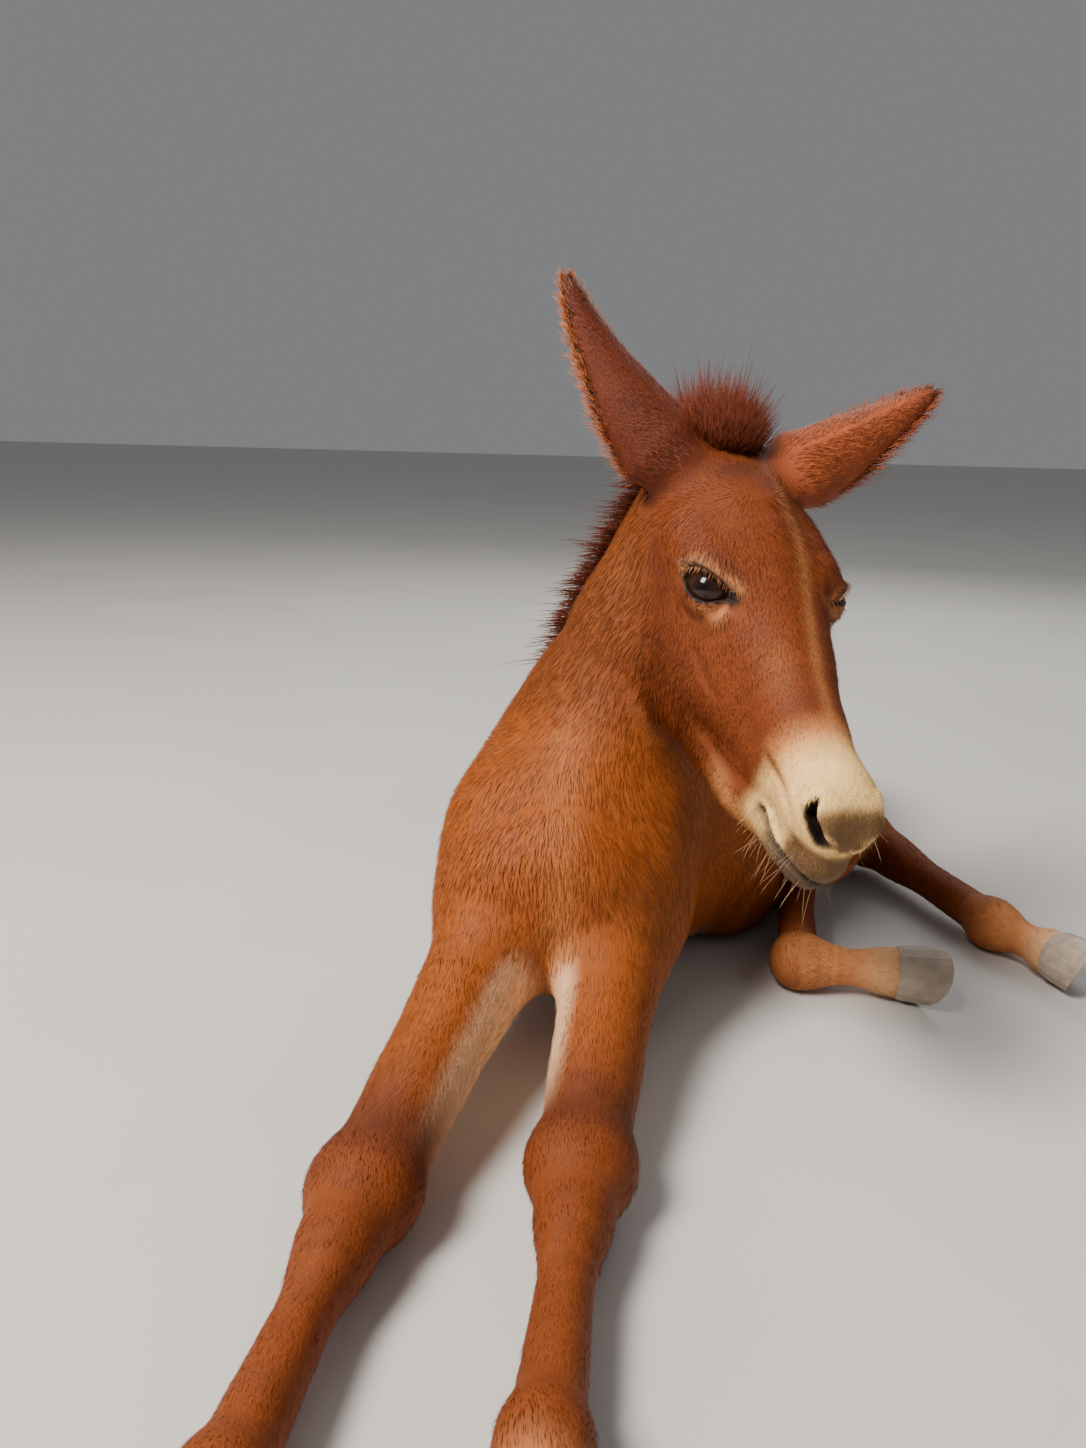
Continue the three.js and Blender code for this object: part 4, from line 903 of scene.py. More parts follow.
def tone(p, n, gaps):
    """The coat's colour at each point, given its outward direction and its gap to each part."""
    trunk = np.tile(CHESTNUT, (len(p), 1))
    trunk = toward(trunk, BACK, ramp(p[:, 2], 180, 270) * ramp(p[:, 1], 900, 1100))
    middle = bell(p[:, 0], 20, 16) * (p[:, 1] < 900)
    trunk = toward(trunk, TAN_AND_HIGHLIGHT, middle * (0.12 + 0.35 * (1 - ramp(p[:, 2], 110, 190))))
    trunk = toward(trunk, PALE_PINK, 0.5 * ramp(-n[:, 2], 0.5, 0.9) * ramp(p[:, 1], 900, 1000))
    neck = np.tile(NECK_BROWN, (len(p), 1))
    neck = toward(neck, CHESTNUT, 1 - ramp(p[:, 2], 240, 330))
    colours = {"trunk": trunk, "neck": neck, "head": head_tone(to_head(p))}
    for side, shade in (("right", EAR_BROWN), ("left", EAR_PINK)):
        ear = EARS[side]
        t, across, back, over = ear_local(ear, p)
        half = ear_half(ear, t)
        k = ear_round(half, across, back)
        c = np.tile(shade, (len(p), 1))
        c = toward(c, DARK_HAIR, 0.6 * ramp(t, 0.75, 1) + 0.35 * (1 - ramp(t, 0, 0.3)))
        c = toward(c, EAR_INSIDE, 1 - ramp(k, 0.75, 0.93))
        colours["ear_" + side] = c
    for name in LEG_NAMES:
        place, way = along_leg(name, p)
        c = np.tile(CHESTNUT, (len(p), 1))
        if name.startswith("fore"):
            c = toward(c, LEG_RED, ramp(place, 0.5, 0.95))
            # Painted shade on the top of the knee.
            c = toward(c, KNEE_AND_CREASE_SHADE, 0.7 * bell(place, 0.9, 0.12) * (n[:, 2] > 0.2))
            inner = n[:, 0] * (1 if name.endswith("right") else -1) - 0.5 * n[:, 2]
            c = toward(c, PALE_PINK, 0.85 * ramp(inner, 0.1, 0.75) * (1 - ramp(place, 0.6, 0.95)))
            c = toward(c, PASTERN, ramp(place, 2.0, 2.5))
            c = toward(c, CORONET, ramp(place, 2.6, 2.95))
        else:
            c = toward(c, LEG_RED, ramp(place, 1.6, 2.4))
            c = toward(c, PASTERN, ramp(place, 2.7, 3.3))
            c = toward(c, CORONET, ramp(place, 3.5, 3.9))
        colours[name] = c
    return mixed_by_part(colours, gaps, 7)


def hair_lie(p, n, gaps):
    """The direction in which the coat lies on the skin."""
    trunk = np.stack([
        0.25 + 0 * p[:, 0], np.ones(len(p)), -0.45 - 0.9 * (1 - ramp(n[:, 2], -0.2, 0.7)),
    ], 1)
    chest = 1 - ramp(p[:, 1], 880, 990)
    trunk = trunk * (1 - chest)[:, None] + chest[:, None] * np.array((0.0, 0.1, -1.0))
    neck = np.tile((-0.25, 0.3, -1.0), (len(p), 1))
    h = to_head(p)
    rise = np.tanh((h[:, 0] - 62) / 22)
    cheek = ramp(-h[:, 2], 45, 105)
    head = np.stack([
        rise * (1 - 0.7 * cheek) + 0.15 * cheek, h[:, 1] / 90, -0.25 - 0.8 * cheek,
    ], 1) @ HEAD_AXES
    ways = {"trunk": trunk, "neck": neck, "head": head}
    for side in ("right", "left"):
        at, axis, back, across = ear_rib(EARS[side])
        t, over, b, _ = ear_local(EARS[side], p)
        k = np.clip((t * (EAR_SAMPLES - 1)).astype(int), 0, EAR_SAMPLES - 1)
        ways["ear_" + side] = axis[k] + 0.35 * across[k] * np.sign(over)[:, None]
    for name in LEG_NAMES:
        ways[name] = along_leg(name, p)[1] + np.array((0, 0, -0.15))
    way = mixed_by_part({name: rows_unit(rows) for name, rows in ways.items()}, gaps, 12)
    return square_to(n, way)


# The unwrap of the skin's own shape: one chart for each part, round it and along it.
CHARTS = {
    "head": (0.01, 0.01, 0.49, 0.42), "trunk": (0.51, 0.01, 0.99, 0.42),
    "neck": (0.01, 0.44, 0.33, 0.70), "fore_right": (0.35, 0.44, 0.55, 0.70),
    "fore_left": (0.57, 0.44, 0.77, 0.70), "hind_right": (0.79, 0.44, 0.99, 0.70),
    "hind_left": (0.01, 0.72, 0.33, 0.99), "ear_right": (0.35, 0.72, 0.65, 0.99),
    "ear_left": (0.67, 0.72, 0.99, 0.99),
}


def round_and_along(name, p):
    if name == "trunk":
        t = p[:, 1]
        x = np.interp(t, (860, 1000, 1195, 1380, 1500), (24, 62, 178, 285, 330))
        return np.arctan2(p[:, 0] - x, p[:, 2] - 140), (t - 780) / 800
    if name == "neck":
        t = p[:, 2]
        x = np.interp(t, (200, 350, 476), (52, 70, 132))
        y = np.interp(t, (200, 350, 476), (1004, 947, 938))
        return np.arctan2(p[:, 0] - x, p[:, 1] - y), (t - 160) / 400
    if name == "head":
        h = to_head(p)
        return np.arctan2(h[:, 1], h[:, 2] + 72), (h[:, 0] + 60) / 440
    if name.startswith("ear"):
        ear = EARS[name.split("_")[1]]
        t, across, back, over = ear_local(ear, p)
        half = ear_half(ear, t)
        k = ear_round(half, across, back)
        turn = np.arctan2(across, back * 0.9) / 2
        return np.where(k > 0.93, turn + math.pi / 2, turn - math.pi / 2), t
    place, way = along_leg(name, p)
    line = leg_line(name)
    q = p - row_at(line, place)
    side = rows_unit(np.cross(way, np.array((0.0, 0.0, 1.0))))
    turn = np.arctan2((q * side).sum(1), (q * np.cross(side, way)).sum(1))
    reach = ((q * way).sum(1)) / 300
    return turn, (place + reach + 0.3) / (len(line) - 0.4)


def charted(names, p, centre=None):
    """Place in the unwrap of points on the named parts; a face's corners stay beside its centre."""
    uv = np.zeros((len(p), 2))
    for i, name in enumerate(PART_NAMES):
        on = np.nonzero(names == i)[0]
        if not len(on):
            continue
        turn, along = round_and_along(name, p[on])
        if centre is not None:
            middle = round_and_along(name, centre[on])[0]
            turn = middle + (turn - middle + math.pi) % (2 * math.pi) - math.pi
        x0, y0, x1, y1 = CHARTS[name]
        u = np.clip(turn / (2 * math.pi) + 0.5, -0.008, 1.008)
        uv[on, 0] = x0 + (x1 - x0) * np.clip(0.01 + 0.98 * u, 0, 1)
        uv[on, 1] = y0 + (y1 - y0) * np.clip(along, 0.002, 0.998)
    return uv


# Pieces.
def add_object(name, data):
    piece = bpy.data.objects.new(name, data)
    bpy.context.scene.collection.objects.link(piece)
    return piece


def mesh_piece(name, vertices, faces, uv, colours):
    """A smooth mesh with its unwrap for each face corner and its colour for each vertex."""
    mesh = bpy.data.meshes.new(name)
    mesh.vertices.add(len(vertices))
    mesh.vertices.foreach_set("co", np.asarray(vertices, np.float32).ravel())
    mesh.loops.add(faces.size)
    mesh.loops.foreach_set("vertex_index", faces.astype(np.int32).ravel())
    mesh.polygons.add(len(faces))
    mesh.polygons.foreach_set("loop_start", (np.arange(len(faces)) * faces.shape[1]).astype(np.int32))
    mesh.polygons.foreach_set("use_smooth", np.full(len(faces), True))
    layer = mesh.uv_layers.new(name="OFBake")
    layer.data.foreach_set("uv", uv.astype(np.float32).ravel())
    layer = mesh.color_attributes.new(name="tone", type="FLOAT_COLOR", domain="POINT")
    four = np.concatenate([colours, np.ones((len(colours), 1))], 1)
    layer.data.foreach_set("color", four.astype(np.float32).ravel())
    mesh.update()
    mesh.validate(verbose=False)
    return add_object(name, mesh)


def material(name, roughness, noise, noise_scale, specular=0.5, bump=0.0, bump_scale=0.0, colour=None):
    """A principled surface whose colour is the piece's own tone, or the given one, varied by noise."""
    m = bpy.data.materials.new(name)
    m.use_nodes = True
    nodes = m.node_tree.nodes
    shader = nodes["Principled BSDF"]
    shader.inputs["Specular IOR Level"].default_value = specular

    def node(kind, **values):
        new = nodes.new("ShaderNode" + kind)
        for socket, value in values.items():
            new.inputs[socket.replace("_", " ")].default_value = value
        return new

    def link(source, output, target, socket):
        m.node_tree.links.new(source.outputs[output], target.inputs[socket])

    place = node("TexCoord")
    spots = node("TexNoise", Scale=noise_scale, Detail=5)
    link(place, "Object", spots, "Vector")
    vary = node("MapRange", From_Min=0.3, From_Max=0.7, To_Min=1 - noise, To_Max=1 + noise)
    link(spots, "Fac", vary, "Value")
    scale = node("VectorMath")
    scale.operation = "SCALE"
    if colour is None:
        own = node("VertexColor")
        own.layer_name = "tone"
        link(own, "Color", scale, 0)
    else:
        scale.inputs[0].default_value = tuple(colour)
    link(vary, "Result", scale, "Scale")
    link(scale, "Vector", shader, "Base Color")
    rough = node("MapRange", To_Min=roughness * 0.85, To_Max=min(roughness * 1.15, 1))
    link(spots, "Fac", rough, "Value")
    link(rough, "Result", shader, "Roughness")
    if bump:
        grain = node("TexNoise", Scale=bump_scale, Detail=6)
        link(place, "Object", grain, "Vector")
        lift = node("Bump", Strength=bump, Distance=0.002)
        link(grain, "Fac", lift, "Height")
        link(lift, "Normal", shader, "Normal")
    return m


SKIN_FINISH = material("skin_finish", 0.7, 0.14, 60, 0.3, bump=0.5, bump_scale=500)
COAT_FINISH = material("coat_finish", 0.5, 0.2, 90, 0.25)
HAIR_FINISH = material("hair_finish", 0.6, 0.2, 120, 0.2)


def finish_piece(piece, finish):
    piece.data.materials.append(finish)
    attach(piece, "root")
    return piece


# The skin.
skin_at, skin_faces = surface(sampled(SKIN))
skin_at, skin_out = settled(skin_at)
skin_gaps = part_gaps(skin_at)
skin_tone = tone(skin_at, skin_out, skin_gaps)
skin_part = skin_gaps.argmin(1)
face_part = skin_part[skin_faces[:, 0]]
face_centre = skin_at[skin_faces].mean(1)
loops = skin_at[skin_faces].reshape(-1, 3)
skin_uv = charted(np.repeat(face_part, 4), loops, np.repeat(face_centre, 4, axis=0))
skin = mesh_piece("skin", to_frame(skin_at), skin_faces, skin_uv, skin_tone)
finish_piece(skin, SKIN_FINISH)
FLESH = ["head", "neck", "torso", "tail", "ear_right", "ear_left"] + [
    f"{leg}_{side}_{part}" for leg in ("foreleg", "hindleg") for side in ("right", "left")
    for part in ("upper", "lower", "pastern")]
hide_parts(*FLESH)


# How deep the hairs are rooted in the skin, and their shade at the root.
ROOT_DEPTH = 1.2
ROOT_SHADE = 0.86


def strands(name, root, out, way, end_way, length, width, thick, lift, colours, uv, rings, tip, soft=0.0):
    """Closed tapered hairs with three sides: each bends from its first direction to its last."""
    count = len(root)
    side = rows_unit(np.cross(out, way))
    length = np.broadcast_to(length, count)[:, None]
    rows = []
    shape = np.linspace(0, 1, rings + 1)[:-1] ** 0.9
    for t in shape:
        bend = way * (t - t * t / 2) + end_way * (t * t / 2)
        high = lift * np.sin(math.pi * min(t + 0.12, 0.7)) - (ROOT_DEPTH if t == 0 else 0)
        at = root + length * bend + out * high[:, None]
        w = (width * (1 - 0.35 * t) / 2)[:, None]
        h = (thick * (1 - 0.3 * t))[:, None]
        rows.append(np.stack([at + side * w, at + out * h, at - side * w], 1))
    at = root + length * (way + end_way) / 2 + out * (lift * 0.55)[:, None]
    points = np.concatenate([np.concatenate(rows, 1), at[:, None]], 1)
    points[:, :, 2] = np.maximum(points[:, :, 2], HAIR_FLOOR)
    per = rings * 3 + 1
    faces = [(0, 1, 2)]
    for r in range(rings - 1):
        a, b = 3 * r, 3 * r + 3
        for i in range(3):
            j = (i + 1) % 3
            faces += [(a + i, b + i, b + j), (a + i, b + j, a + j)]
    last = 3 * (rings - 1)
    faces += [(last + i, per - 1, last + (i + 1) % 3) for i in range(3)]
    faces = np.array(faces)[:, ::-1]
    index = (np.arange(count) * per)[:, None, None] + faces[None]
    row_of = np.minimum(np.arange(per) // 3, rings)
    shade = (ROOT_SHADE + (tip - ROOT_SHADE) * row_of / rings)[None, :, None]
    tones = np.clip(colours[:, None] * shade, 0, 1).reshape(-1, 3)
    spot = np.stack([((np.arange(per) % 3) - 1) * 0.0014, (row_of / rings - 0.5) * 0.003], 1)
    spot[per - 1] = (0.0004, 0.0015)
    loop_uv = np.clip((uv[:, None] + spot[None]).reshape(-1, 2)[index.reshape(-1)], 0, 1)
    piece = mesh_piece(name, to_frame(points.reshape(-1, 3)), index.reshape(-1, 3), loop_uv, tones)
    if soft:
        own = np.empty(len(piece.data.vertices) * 3, np.float32)
        piece.data.vertex_normals.foreach_get("vector", own)
        mixed = own.reshape(-1, 3) * (1 - soft) + np.repeat(out, per, axis=0) * soft
        piece.data.normals_split_custom_set_from_vertices(rows_unit(mixed).tolist())
    return piece


# The coat: short flat tufts rooted on the skin, overlapping along its lie.
def roots_on_skin(spacing_of):
    """Points spread over the skin: a face gets as many as its area and the spacing there ask for."""
    a, b, c, d = (skin_at[skin_faces[:, i]] for i in range(4))
    area = np.linalg.norm(np.cross(c - a, d - b), axis=1) / 2
    space = spacing_of(face_centre, skin_gaps[skin_faces].mean(1), face_part)
    want = area / space ** 2
    number = np.floor(want + rng.random(len(want))).astype(int)
    face = np.repeat(np.arange(len(want)), number)
    s, t = rng.random(len(face)), rng.random(len(face))
    corner = skin_faces[face]
    weight = np.stack([(1 - s) * (1 - t), s * (1 - t), s * t, (1 - s) * t], 1)
    blend = lambda rows: (rows[corner] * weight[:, :, None]).sum(1)
    return blend(skin_at), rows_unit(blend(skin_out)), blend(skin_gaps), blend(skin_tone), face


THIN = 1.0
BROAD = THIN ** 0.5
PART = {name: i for i, name in enumerate(PART_NAMES)}


def region_sizes(p, part):
    """Spacing, length, width and lift of the tufts at each place."""
    h = to_head(p)
    size = np.tile((3.4, 16.0, 1.45, 1.4), (len(p), 1))
    size[part == PART["neck"]] = (3.1, 17.5, 1.4, 1.6)
    head = part == PART["head"]
    nose = ramp(h[:, 0], 60, 300)[:, None]
    small = np.array((2.5, 11.5, 1.25, 1.1)) * (1 - nose) + np.array((2.0, 5.5, 0.85, 0.6)) * nose
    cheek = (ramp(-h[:, 2], 70, 120) * (1 - ramp(h[:, 0], 170, 260)))[:, None]
    beard = (ramp(-h[:, 2], 122, 150) * ramp(h[:, 0], 60, 120))[:, None]
    small = small + cheek * np.array((0.2, 4.0, 0.2, 0.8)) + beard * np.array((0.2, 6.0, 0.0, 1.6))
    size[head] = small[head]
    size[(part == PART["ear_right"]) | (part == PART["ear_left"])] = (2.2, 12.0, 0.85, 1.2)
    for name in LEG_NAMES:
        on = part == PART[name]
        place = along_leg(name, p[on])[0]
        f = ramp(place, 0.3, 1.2 if name.startswith("fore") else 2.4)[:, None]
        size[on] = np.array((3.4, 13.0, 1.5, 1.0)) * (1 - f) + np.array((2.8, 9.0, 1.1, 0.6)) * f
    return size


hair_at, hair_out, hair_gaps, hair_tone, hair_face = roots_on_skin(
    lambda p, gaps, part: region_sizes(p, part)[:, 0] * BROAD)
hair_part = face_part[hair_face]
head_place = to_head(hair_at)

# No tufts on the eyes and their rims, in the nostrils, on the edges of the lips, on the floor or past the
# coronets.
bare = np.zeros(len(hair_at), bool)
for side in (-1, 1):
    ahead, along, high, r = eye_local(head_place, side)
    bare |= (ahead > -0.1) & (r < 40) & (almond(side, ahead, along, high) * EYE_RADIUS < 2.2)
    bare |= (r < 20.6)
over_mouth = head_place[:, 2] - mouth_level(head_place[:, 0])
at_mouth = (over_mouth > -3.5) & (over_mouth < 7.5) & (head_place[:, 0] > MOUTH_CORNER - 3)
bare |= (at_mouth | (NOSTRILS(head_place) < 2.2)) & (hair_part == PART["head"])
bare |= hair_at[:, 2] < 1.5
for name in LEG_NAMES:
    fetlock, coronet = leg_line(name)[-2:]
    past = (hair_at - coronet) @ unit(coronet - fetlock)
    bare |= (np.linalg.norm(hair_at - coronet, axis=1) < 60) & (past > -2)
keep = ~bare
hair_at, hair_out, hair_gaps, hair_tone, hair_part = (
    a[keep] for a in (hair_at, hair_out, hair_gaps, hair_tone, hair_part))
hair_size = region_sizes(hair_at, hair_part)
hair_way = hair_lie(hair_at, hair_out, hair_gaps)


def jitter(count, amount):
    return rng.normal(0, amount, (count, 3))


# How much a tuft's shading follows the skin below it instead of its own shape.
COAT_SOFT = 0.62
COAT_SOFT_BY_PIECE = {"coat_ears_1": 0.3, "coat_head_1": 0.5}


def waves(at, first, second):
    return np.sin(at @ np.array(first)) * np.sin(at @ np.array(second))


def coat_piece(name, chosen):
    at, out = hair_at[chosen], hair_out[chosen]
    n = len(at)
    size = hair_size[chosen]
    patch = np.sin(at @ np.array((0.031, 0.017, 0.023))) * np.cos(at @ np.array((-0.013, 0.029, 0.037)))
    swing = 0.16 * np.sin(at @ np.array((0.05, 0.04, -0.06)))[:, None]
    way = hair_way[chosen]
    across = np.cross(out, way)
    way = square_to(out, way + across * swing + jitter(n, 0.11))
    length = size[:, 1] * rng.uniform(0.75, 1.2, n)
    rise = 0.10 * (1 + 0.8 * rng.random(n))[:, None]
    start = way + out * (rise + 0.12)
    end = way - out * 0.08
    lift = size[:, 3] * rng.uniform(0.3, 0.9, n)
    warp = at + 3 * np.sin(at[:, [1, 2, 0]] * 0.21)
    mottle = waves(warp, (0.47, 0.30, 0.12), (-0.22, 0.51, 0.35))
    mottle += 0.7 * waves(warp, (0.95, -0.4, 0.5), (0.5, 0.8, -0.6))
    shade = (1 + 0.12 * rng.normal(size=n) + 0.08 * patch + 0.10 * mottle)[:, None]
    uv = charted(hair_part[chosen], at)
    wide = size[:, 2] * rng.uniform(0.8, 1.25, n) * BROAD
    piece = strands(name, at, out, start, end, length, wide, wide * 0.22, lift,
                    np.clip(hair_tone[chosen] * shade, 0, 1), uv, rings=1, tip=1.2,
                    soft=COAT_SOFT_BY_PIECE.get(name, COAT_SOFT))
    return finish_piece(piece, COAT_FINISH)


COAT_GROUPS = {
    "coat_head": ("head",), "coat_neck": ("neck",), "coat_trunk": ("trunk",),
    "coat_ears": ("ear_right", "ear_left"), "coat_fore_legs": ("fore_right", "fore_left"),
    "coat_hind_legs": ("hind_right", "hind_left"),
}
MOST_TUFTS = 48000
for group, names in COAT_GROUPS.items():
    on = np.nonzero(np.isin(hair_part, [PART[n] for n in names]))[0]
    for i, some in enumerate(np.array_split(on, max(1, -(-len(on) // MOST_TUFTS)))):
        coat_piece(f"{group}_{i + 1}", some)


# The long hair: mane, tuft on the poll, ear rims, tail, lashes and feelers.
MANE_HAIRS = 9000
TUFT_HAIRS = 6500
TAIL_HAIRS = 5200
FRINGES = (("right", 1600, (168, 92, 46)), ("left", 1200, (168, 88, 50)))
LASHES = 90
FEELERS = (70, 36)


def to_uv(name, points):
    return charted(np.full(len(points), PART[name]), points)


def hair_piece(name, root, out, way, end_way, length, wide, lift, colour, home, rings, tip=1.3):
    n = len(root)
    shade = np.clip(1 + 0.18 * rng.normal(size=(n, 1)), 0.5, 1.6)
    piece = strands(name, root, out, way, end_way, length, np.full(n, wide), np.full(n, wide * 0.3),
                    np.full(n, float(lift)), colour * shade, to_uv(home, root), rings, tip)
    return finish_piece(piece, HAIR_FINISH)


def crest_line():
    """The top of the neck from the withers to the poll, with its direction, outward and side."""
    stations = [((66, 1060, 286), 1, 1, (0.1, 0.4, 0.9))]
    for at, wide, deep, up in NECK[1:]:
        u = unit(up)
        stations.append((tuple(np.array(at) + u * (deep - 5)), 1, 1, up))
    stations.append((tuple(head_point(-6, 0, -8)), 1, 1, tuple(HEAD_AXES[2])))
    return sections(stations, 24)


rings = crest_line()
ring_at, ring_up, ring_axis = (np.array([r[i] for r in rings]) for i in (0, 3, 4))
ring_side = np.cross(ring_axis, ring_up)
count = int(MANE_HAIRS / THIN)
pick = rng.random(count) ** 0.9 * (len(rings) - 1)
at, up, axis, side = (row_at(rows, pick) for rows in (ring_at, ring_up, ring_axis, ring_side))
aside = rng.normal(0, 1, count)
out = rows_unit(up + side * (0.22 * aside)[:, None])
clump = np.sin(pick * 0.9)[:, None] * 0.1
lean = -axis
side_way = side * (0.25 * aside)[:, None]
way = out + lean * (0.25 + 0.3 * rng.random((count, 1))) + side_way + clump * side
way = way + jitter(count, 0.14)
end_way = out * 0.75 + lean * (0.6 + 0.5 * rng.random((count, 1))) + side_way * 1.8 + jitter(count, 0.2)
root = at + side * (6.5 * aside)[:, None] - out * 2
taper = np.interp(pick / len(rings), (0, 0.15, 0.9, 1), (0.45, 1, 1, 1.1))
hair_piece("mane", root, side, way, end_way, 25 * taper * rng.uniform(0.55, 1.05, count),
           0.7 * BROAD, 0.4, DARK_HAIR, "neck", rings=3)

count = int(TUFT_HAIRS / THIN)
turn = rng.random(count) * 2 * math.pi
ring = np.sqrt(rng.random(count))
hx = -9 + 15 * ring * np.cos(turn)
hy = -4 + 25 * ring * np.sin(turn)
long, wide, deep = CRANIUM_SIZE
dome = 1 - ((hx - CRANIUM_AT[0]) / long) ** 2 - (hy / wide) ** 2
poll = CRANIUM_AT[2] - 4 + deep * np.sqrt(np.maximum(dome, 0))
root = np.stack([hx, hy, poll], 1)
high = (40 * (1 - 0.45 * ring ** 2) * rng.uniform(0.4, 1.08, count) - 4 - poll) * 0.95
way = np.stack([(hx + 9) * 0.010 - 0.08, (hy + 3) * 0.006 - 0.05, np.ones(count)], 1) + jitter(count, 0.17)
end_way = np.stack([(hx + 9) * 0.012 - 0.4, (hy + 3) * 0.010 - 0.1, np.full(count, 0.8)], 1)
end_way = end_way + jitter(count, 0.34)
side_out = np.tile(HEAD_AXES[0], (count, 1))
hair_piece("poll_tuft", HEAD_AT + root @ HEAD_AXES, side_out, way @ HEAD_AXES, end_way @ HEAD_AXES,
           high, 0.65 * BROAD, 0.4, DARK_HAIR, "head", rings=3)


def ear_fringe(side, count, colour):
    """Soft hair along the edges of an ear's opening, longest half way up."""
    ear = EARS[side]
    t = 0.12 + 0.86 * rng.random(count)
    at, axis, back, across = (row_at(rows, t * (EAR_SAMPLES - 1)) for rows in ear_rib(ear))
    hand = np.where(rng.random(count) < 0.5, 1.0, -1.0)
    half = ear_half(ear, t)
    turn = ear_edge(t) + rng.normal(0, 0.10, count)
    out = across * (hand * np.sin(turn))[:, None] + back * np.cos(turn)[:, None]
    root = at + across * (hand * half * np.sin(turn) * 0.94)[:, None] + \
        back * (half * EAR_CUP * np.cos(turn) * 0.94)[:, None]
    way = out * 0.55 + axis * 0.8 + jitter(count, 0.2)
    length = np.interp(t, (0, 0.5, 0.85, 1), (10, 15, 13, 6)) * rng.uniform(0.6, 1.2, count)
    end_way = way + jitter(count, 0.25) + axis * 0.3
    hair_piece("ear_fringe_" + side, root, back, way, end_way, length, 0.7 * BROAD, 0.3, colour,
               "ear_" + side, rings=2)


for side, count, colour in FRINGES:
    ear_fringe(side, int(count / THIN), linear(colour))

TAIL = [
    ((318, 1462, 176), 24, 26, Z_UP), ((338, 1522, 150), 28, 28, Z_UP),
    ((352, 1566, 92), 36, 32, (0, 0.7, 0.7)), ((368, 1588, 38), 38, 30, (0, 0.3, 1)),
    ((396, 1592, 17), 30, 18, Z_UP), ((426, 1574, 9), 14, 9, Z_UP),
]
rings = sections(TAIL, 12)
tail_at, tail_up, tail_axis = (np.array([r[i] for r in rings]) for i in (0, 3, 4))
tail_side = np.cross(tail_axis, tail_up)
tail_wide, tail_deep = (np.array([r[i] for r in rings]) for i in (1, 2))
count = int(TAIL_HAIRS / THIN)

# How many of the tail's rings a hair's bend and its end lie past its root, and how many bear no roots.
BEND_ON = 8
END_ON = 17
LAST_OFF = 14
pick = rng.random(count) * (len(rings) - LAST_OFF)
low = pick.astype(int)
turn = rng.random(count) * 2 * math.pi
ring = np.sqrt(rng.random(count)) * 0.8


def tail_point(index, reach):
    i = np.minimum(index, len(rings) - 1)
    return tail_at[i] + tail_side[i] * (np.cos(turn) * tail_wide[i] * reach)[:, None] + \
        tail_up[i] * (np.sin(turn) * tail_deep[i] * reach)[:, None]


root = tail_point(low, ring * 0.75)
middle = tail_point(low + BEND_ON, ring * 1.05)
far = tail_point(low + END_ON, ring * 1.05 + 0.15) + jitter(count, 5)
length = np.linalg.norm(middle - root, axis=1) + np.linalg.norm(far - middle, axis=1)
way = 2 * (middle - root) / length[:, None]
end_way = 2 * (far - root) / length[:, None] - way
out = tail_side[low] * np.cos(turn)[:, None] + tail_up[low] * np.sin(turn)[:, None]
end_way[:, 2] = np.maximum(end_way[:, 2], (4 - root[:, 2]) * 2 / length - way[:, 2])
hair_piece("tail_hair", root, out, way, end_way, length, 2.0 * BROAD, 0.5, DARK_HAIR, "trunk", rings=5)


# The dock inside the tail.
def tube_mesh(rings, sides):
    rows = []
    for at, wide, deep, up, axis in rings:
        side = np.cross(axis, up)
        a = np.linspace(0, 2 * math.pi, sides, endpoint=False)
        rows.append(at + np.outer(np.cos(a) * wide, side) + np.outer(np.sin(a) * deep, up))
    points = np.concatenate(rows + [np.array([rings[0][0], rings[-1][0]])])
    last = (len(rings) - 1) * sides
    i = np.arange(sides)
    j = (i + 1) % sides
    a = np.arange(0, last, sides)[:, None]
    b = a + sides
    walls = np.stack([a + i, a + j, b + j, a + i, b + j, b + i], 2).reshape(-1, 3)
    middle = np.full(sides, last + sides)
    ends = np.stack([middle, j, i, middle + 1, last + i, last + j], 1).reshape(-1, 3)
    return points, np.concatenate([walls, ends])


dock_rings = [(a, w * 0.6, d * 0.6, u, x) for a, w, d, u, x in sections(TAIL, 4)]
dock, dock_faces = tube_mesh(dock_rings, 20)
dock[:, 2] = np.maximum(dock[:, 2], 1)
dock_uv = to_uv("trunk", dock)[dock_faces.ravel()]
dock_tone = np.tile(DARK_HAIR * 0.8, (len(dock), 1))
tail_core = mesh_piece("tail_core", to_frame(dock), dock_faces, dock_uv, dock_tone)
finish_piece(tail_core, HAIR_FINISH)


# The eyes: a dark ball with a wet cornea that bulges a little along its gaze.
EYE_ROUND = 48
EYE_ROWS = 32


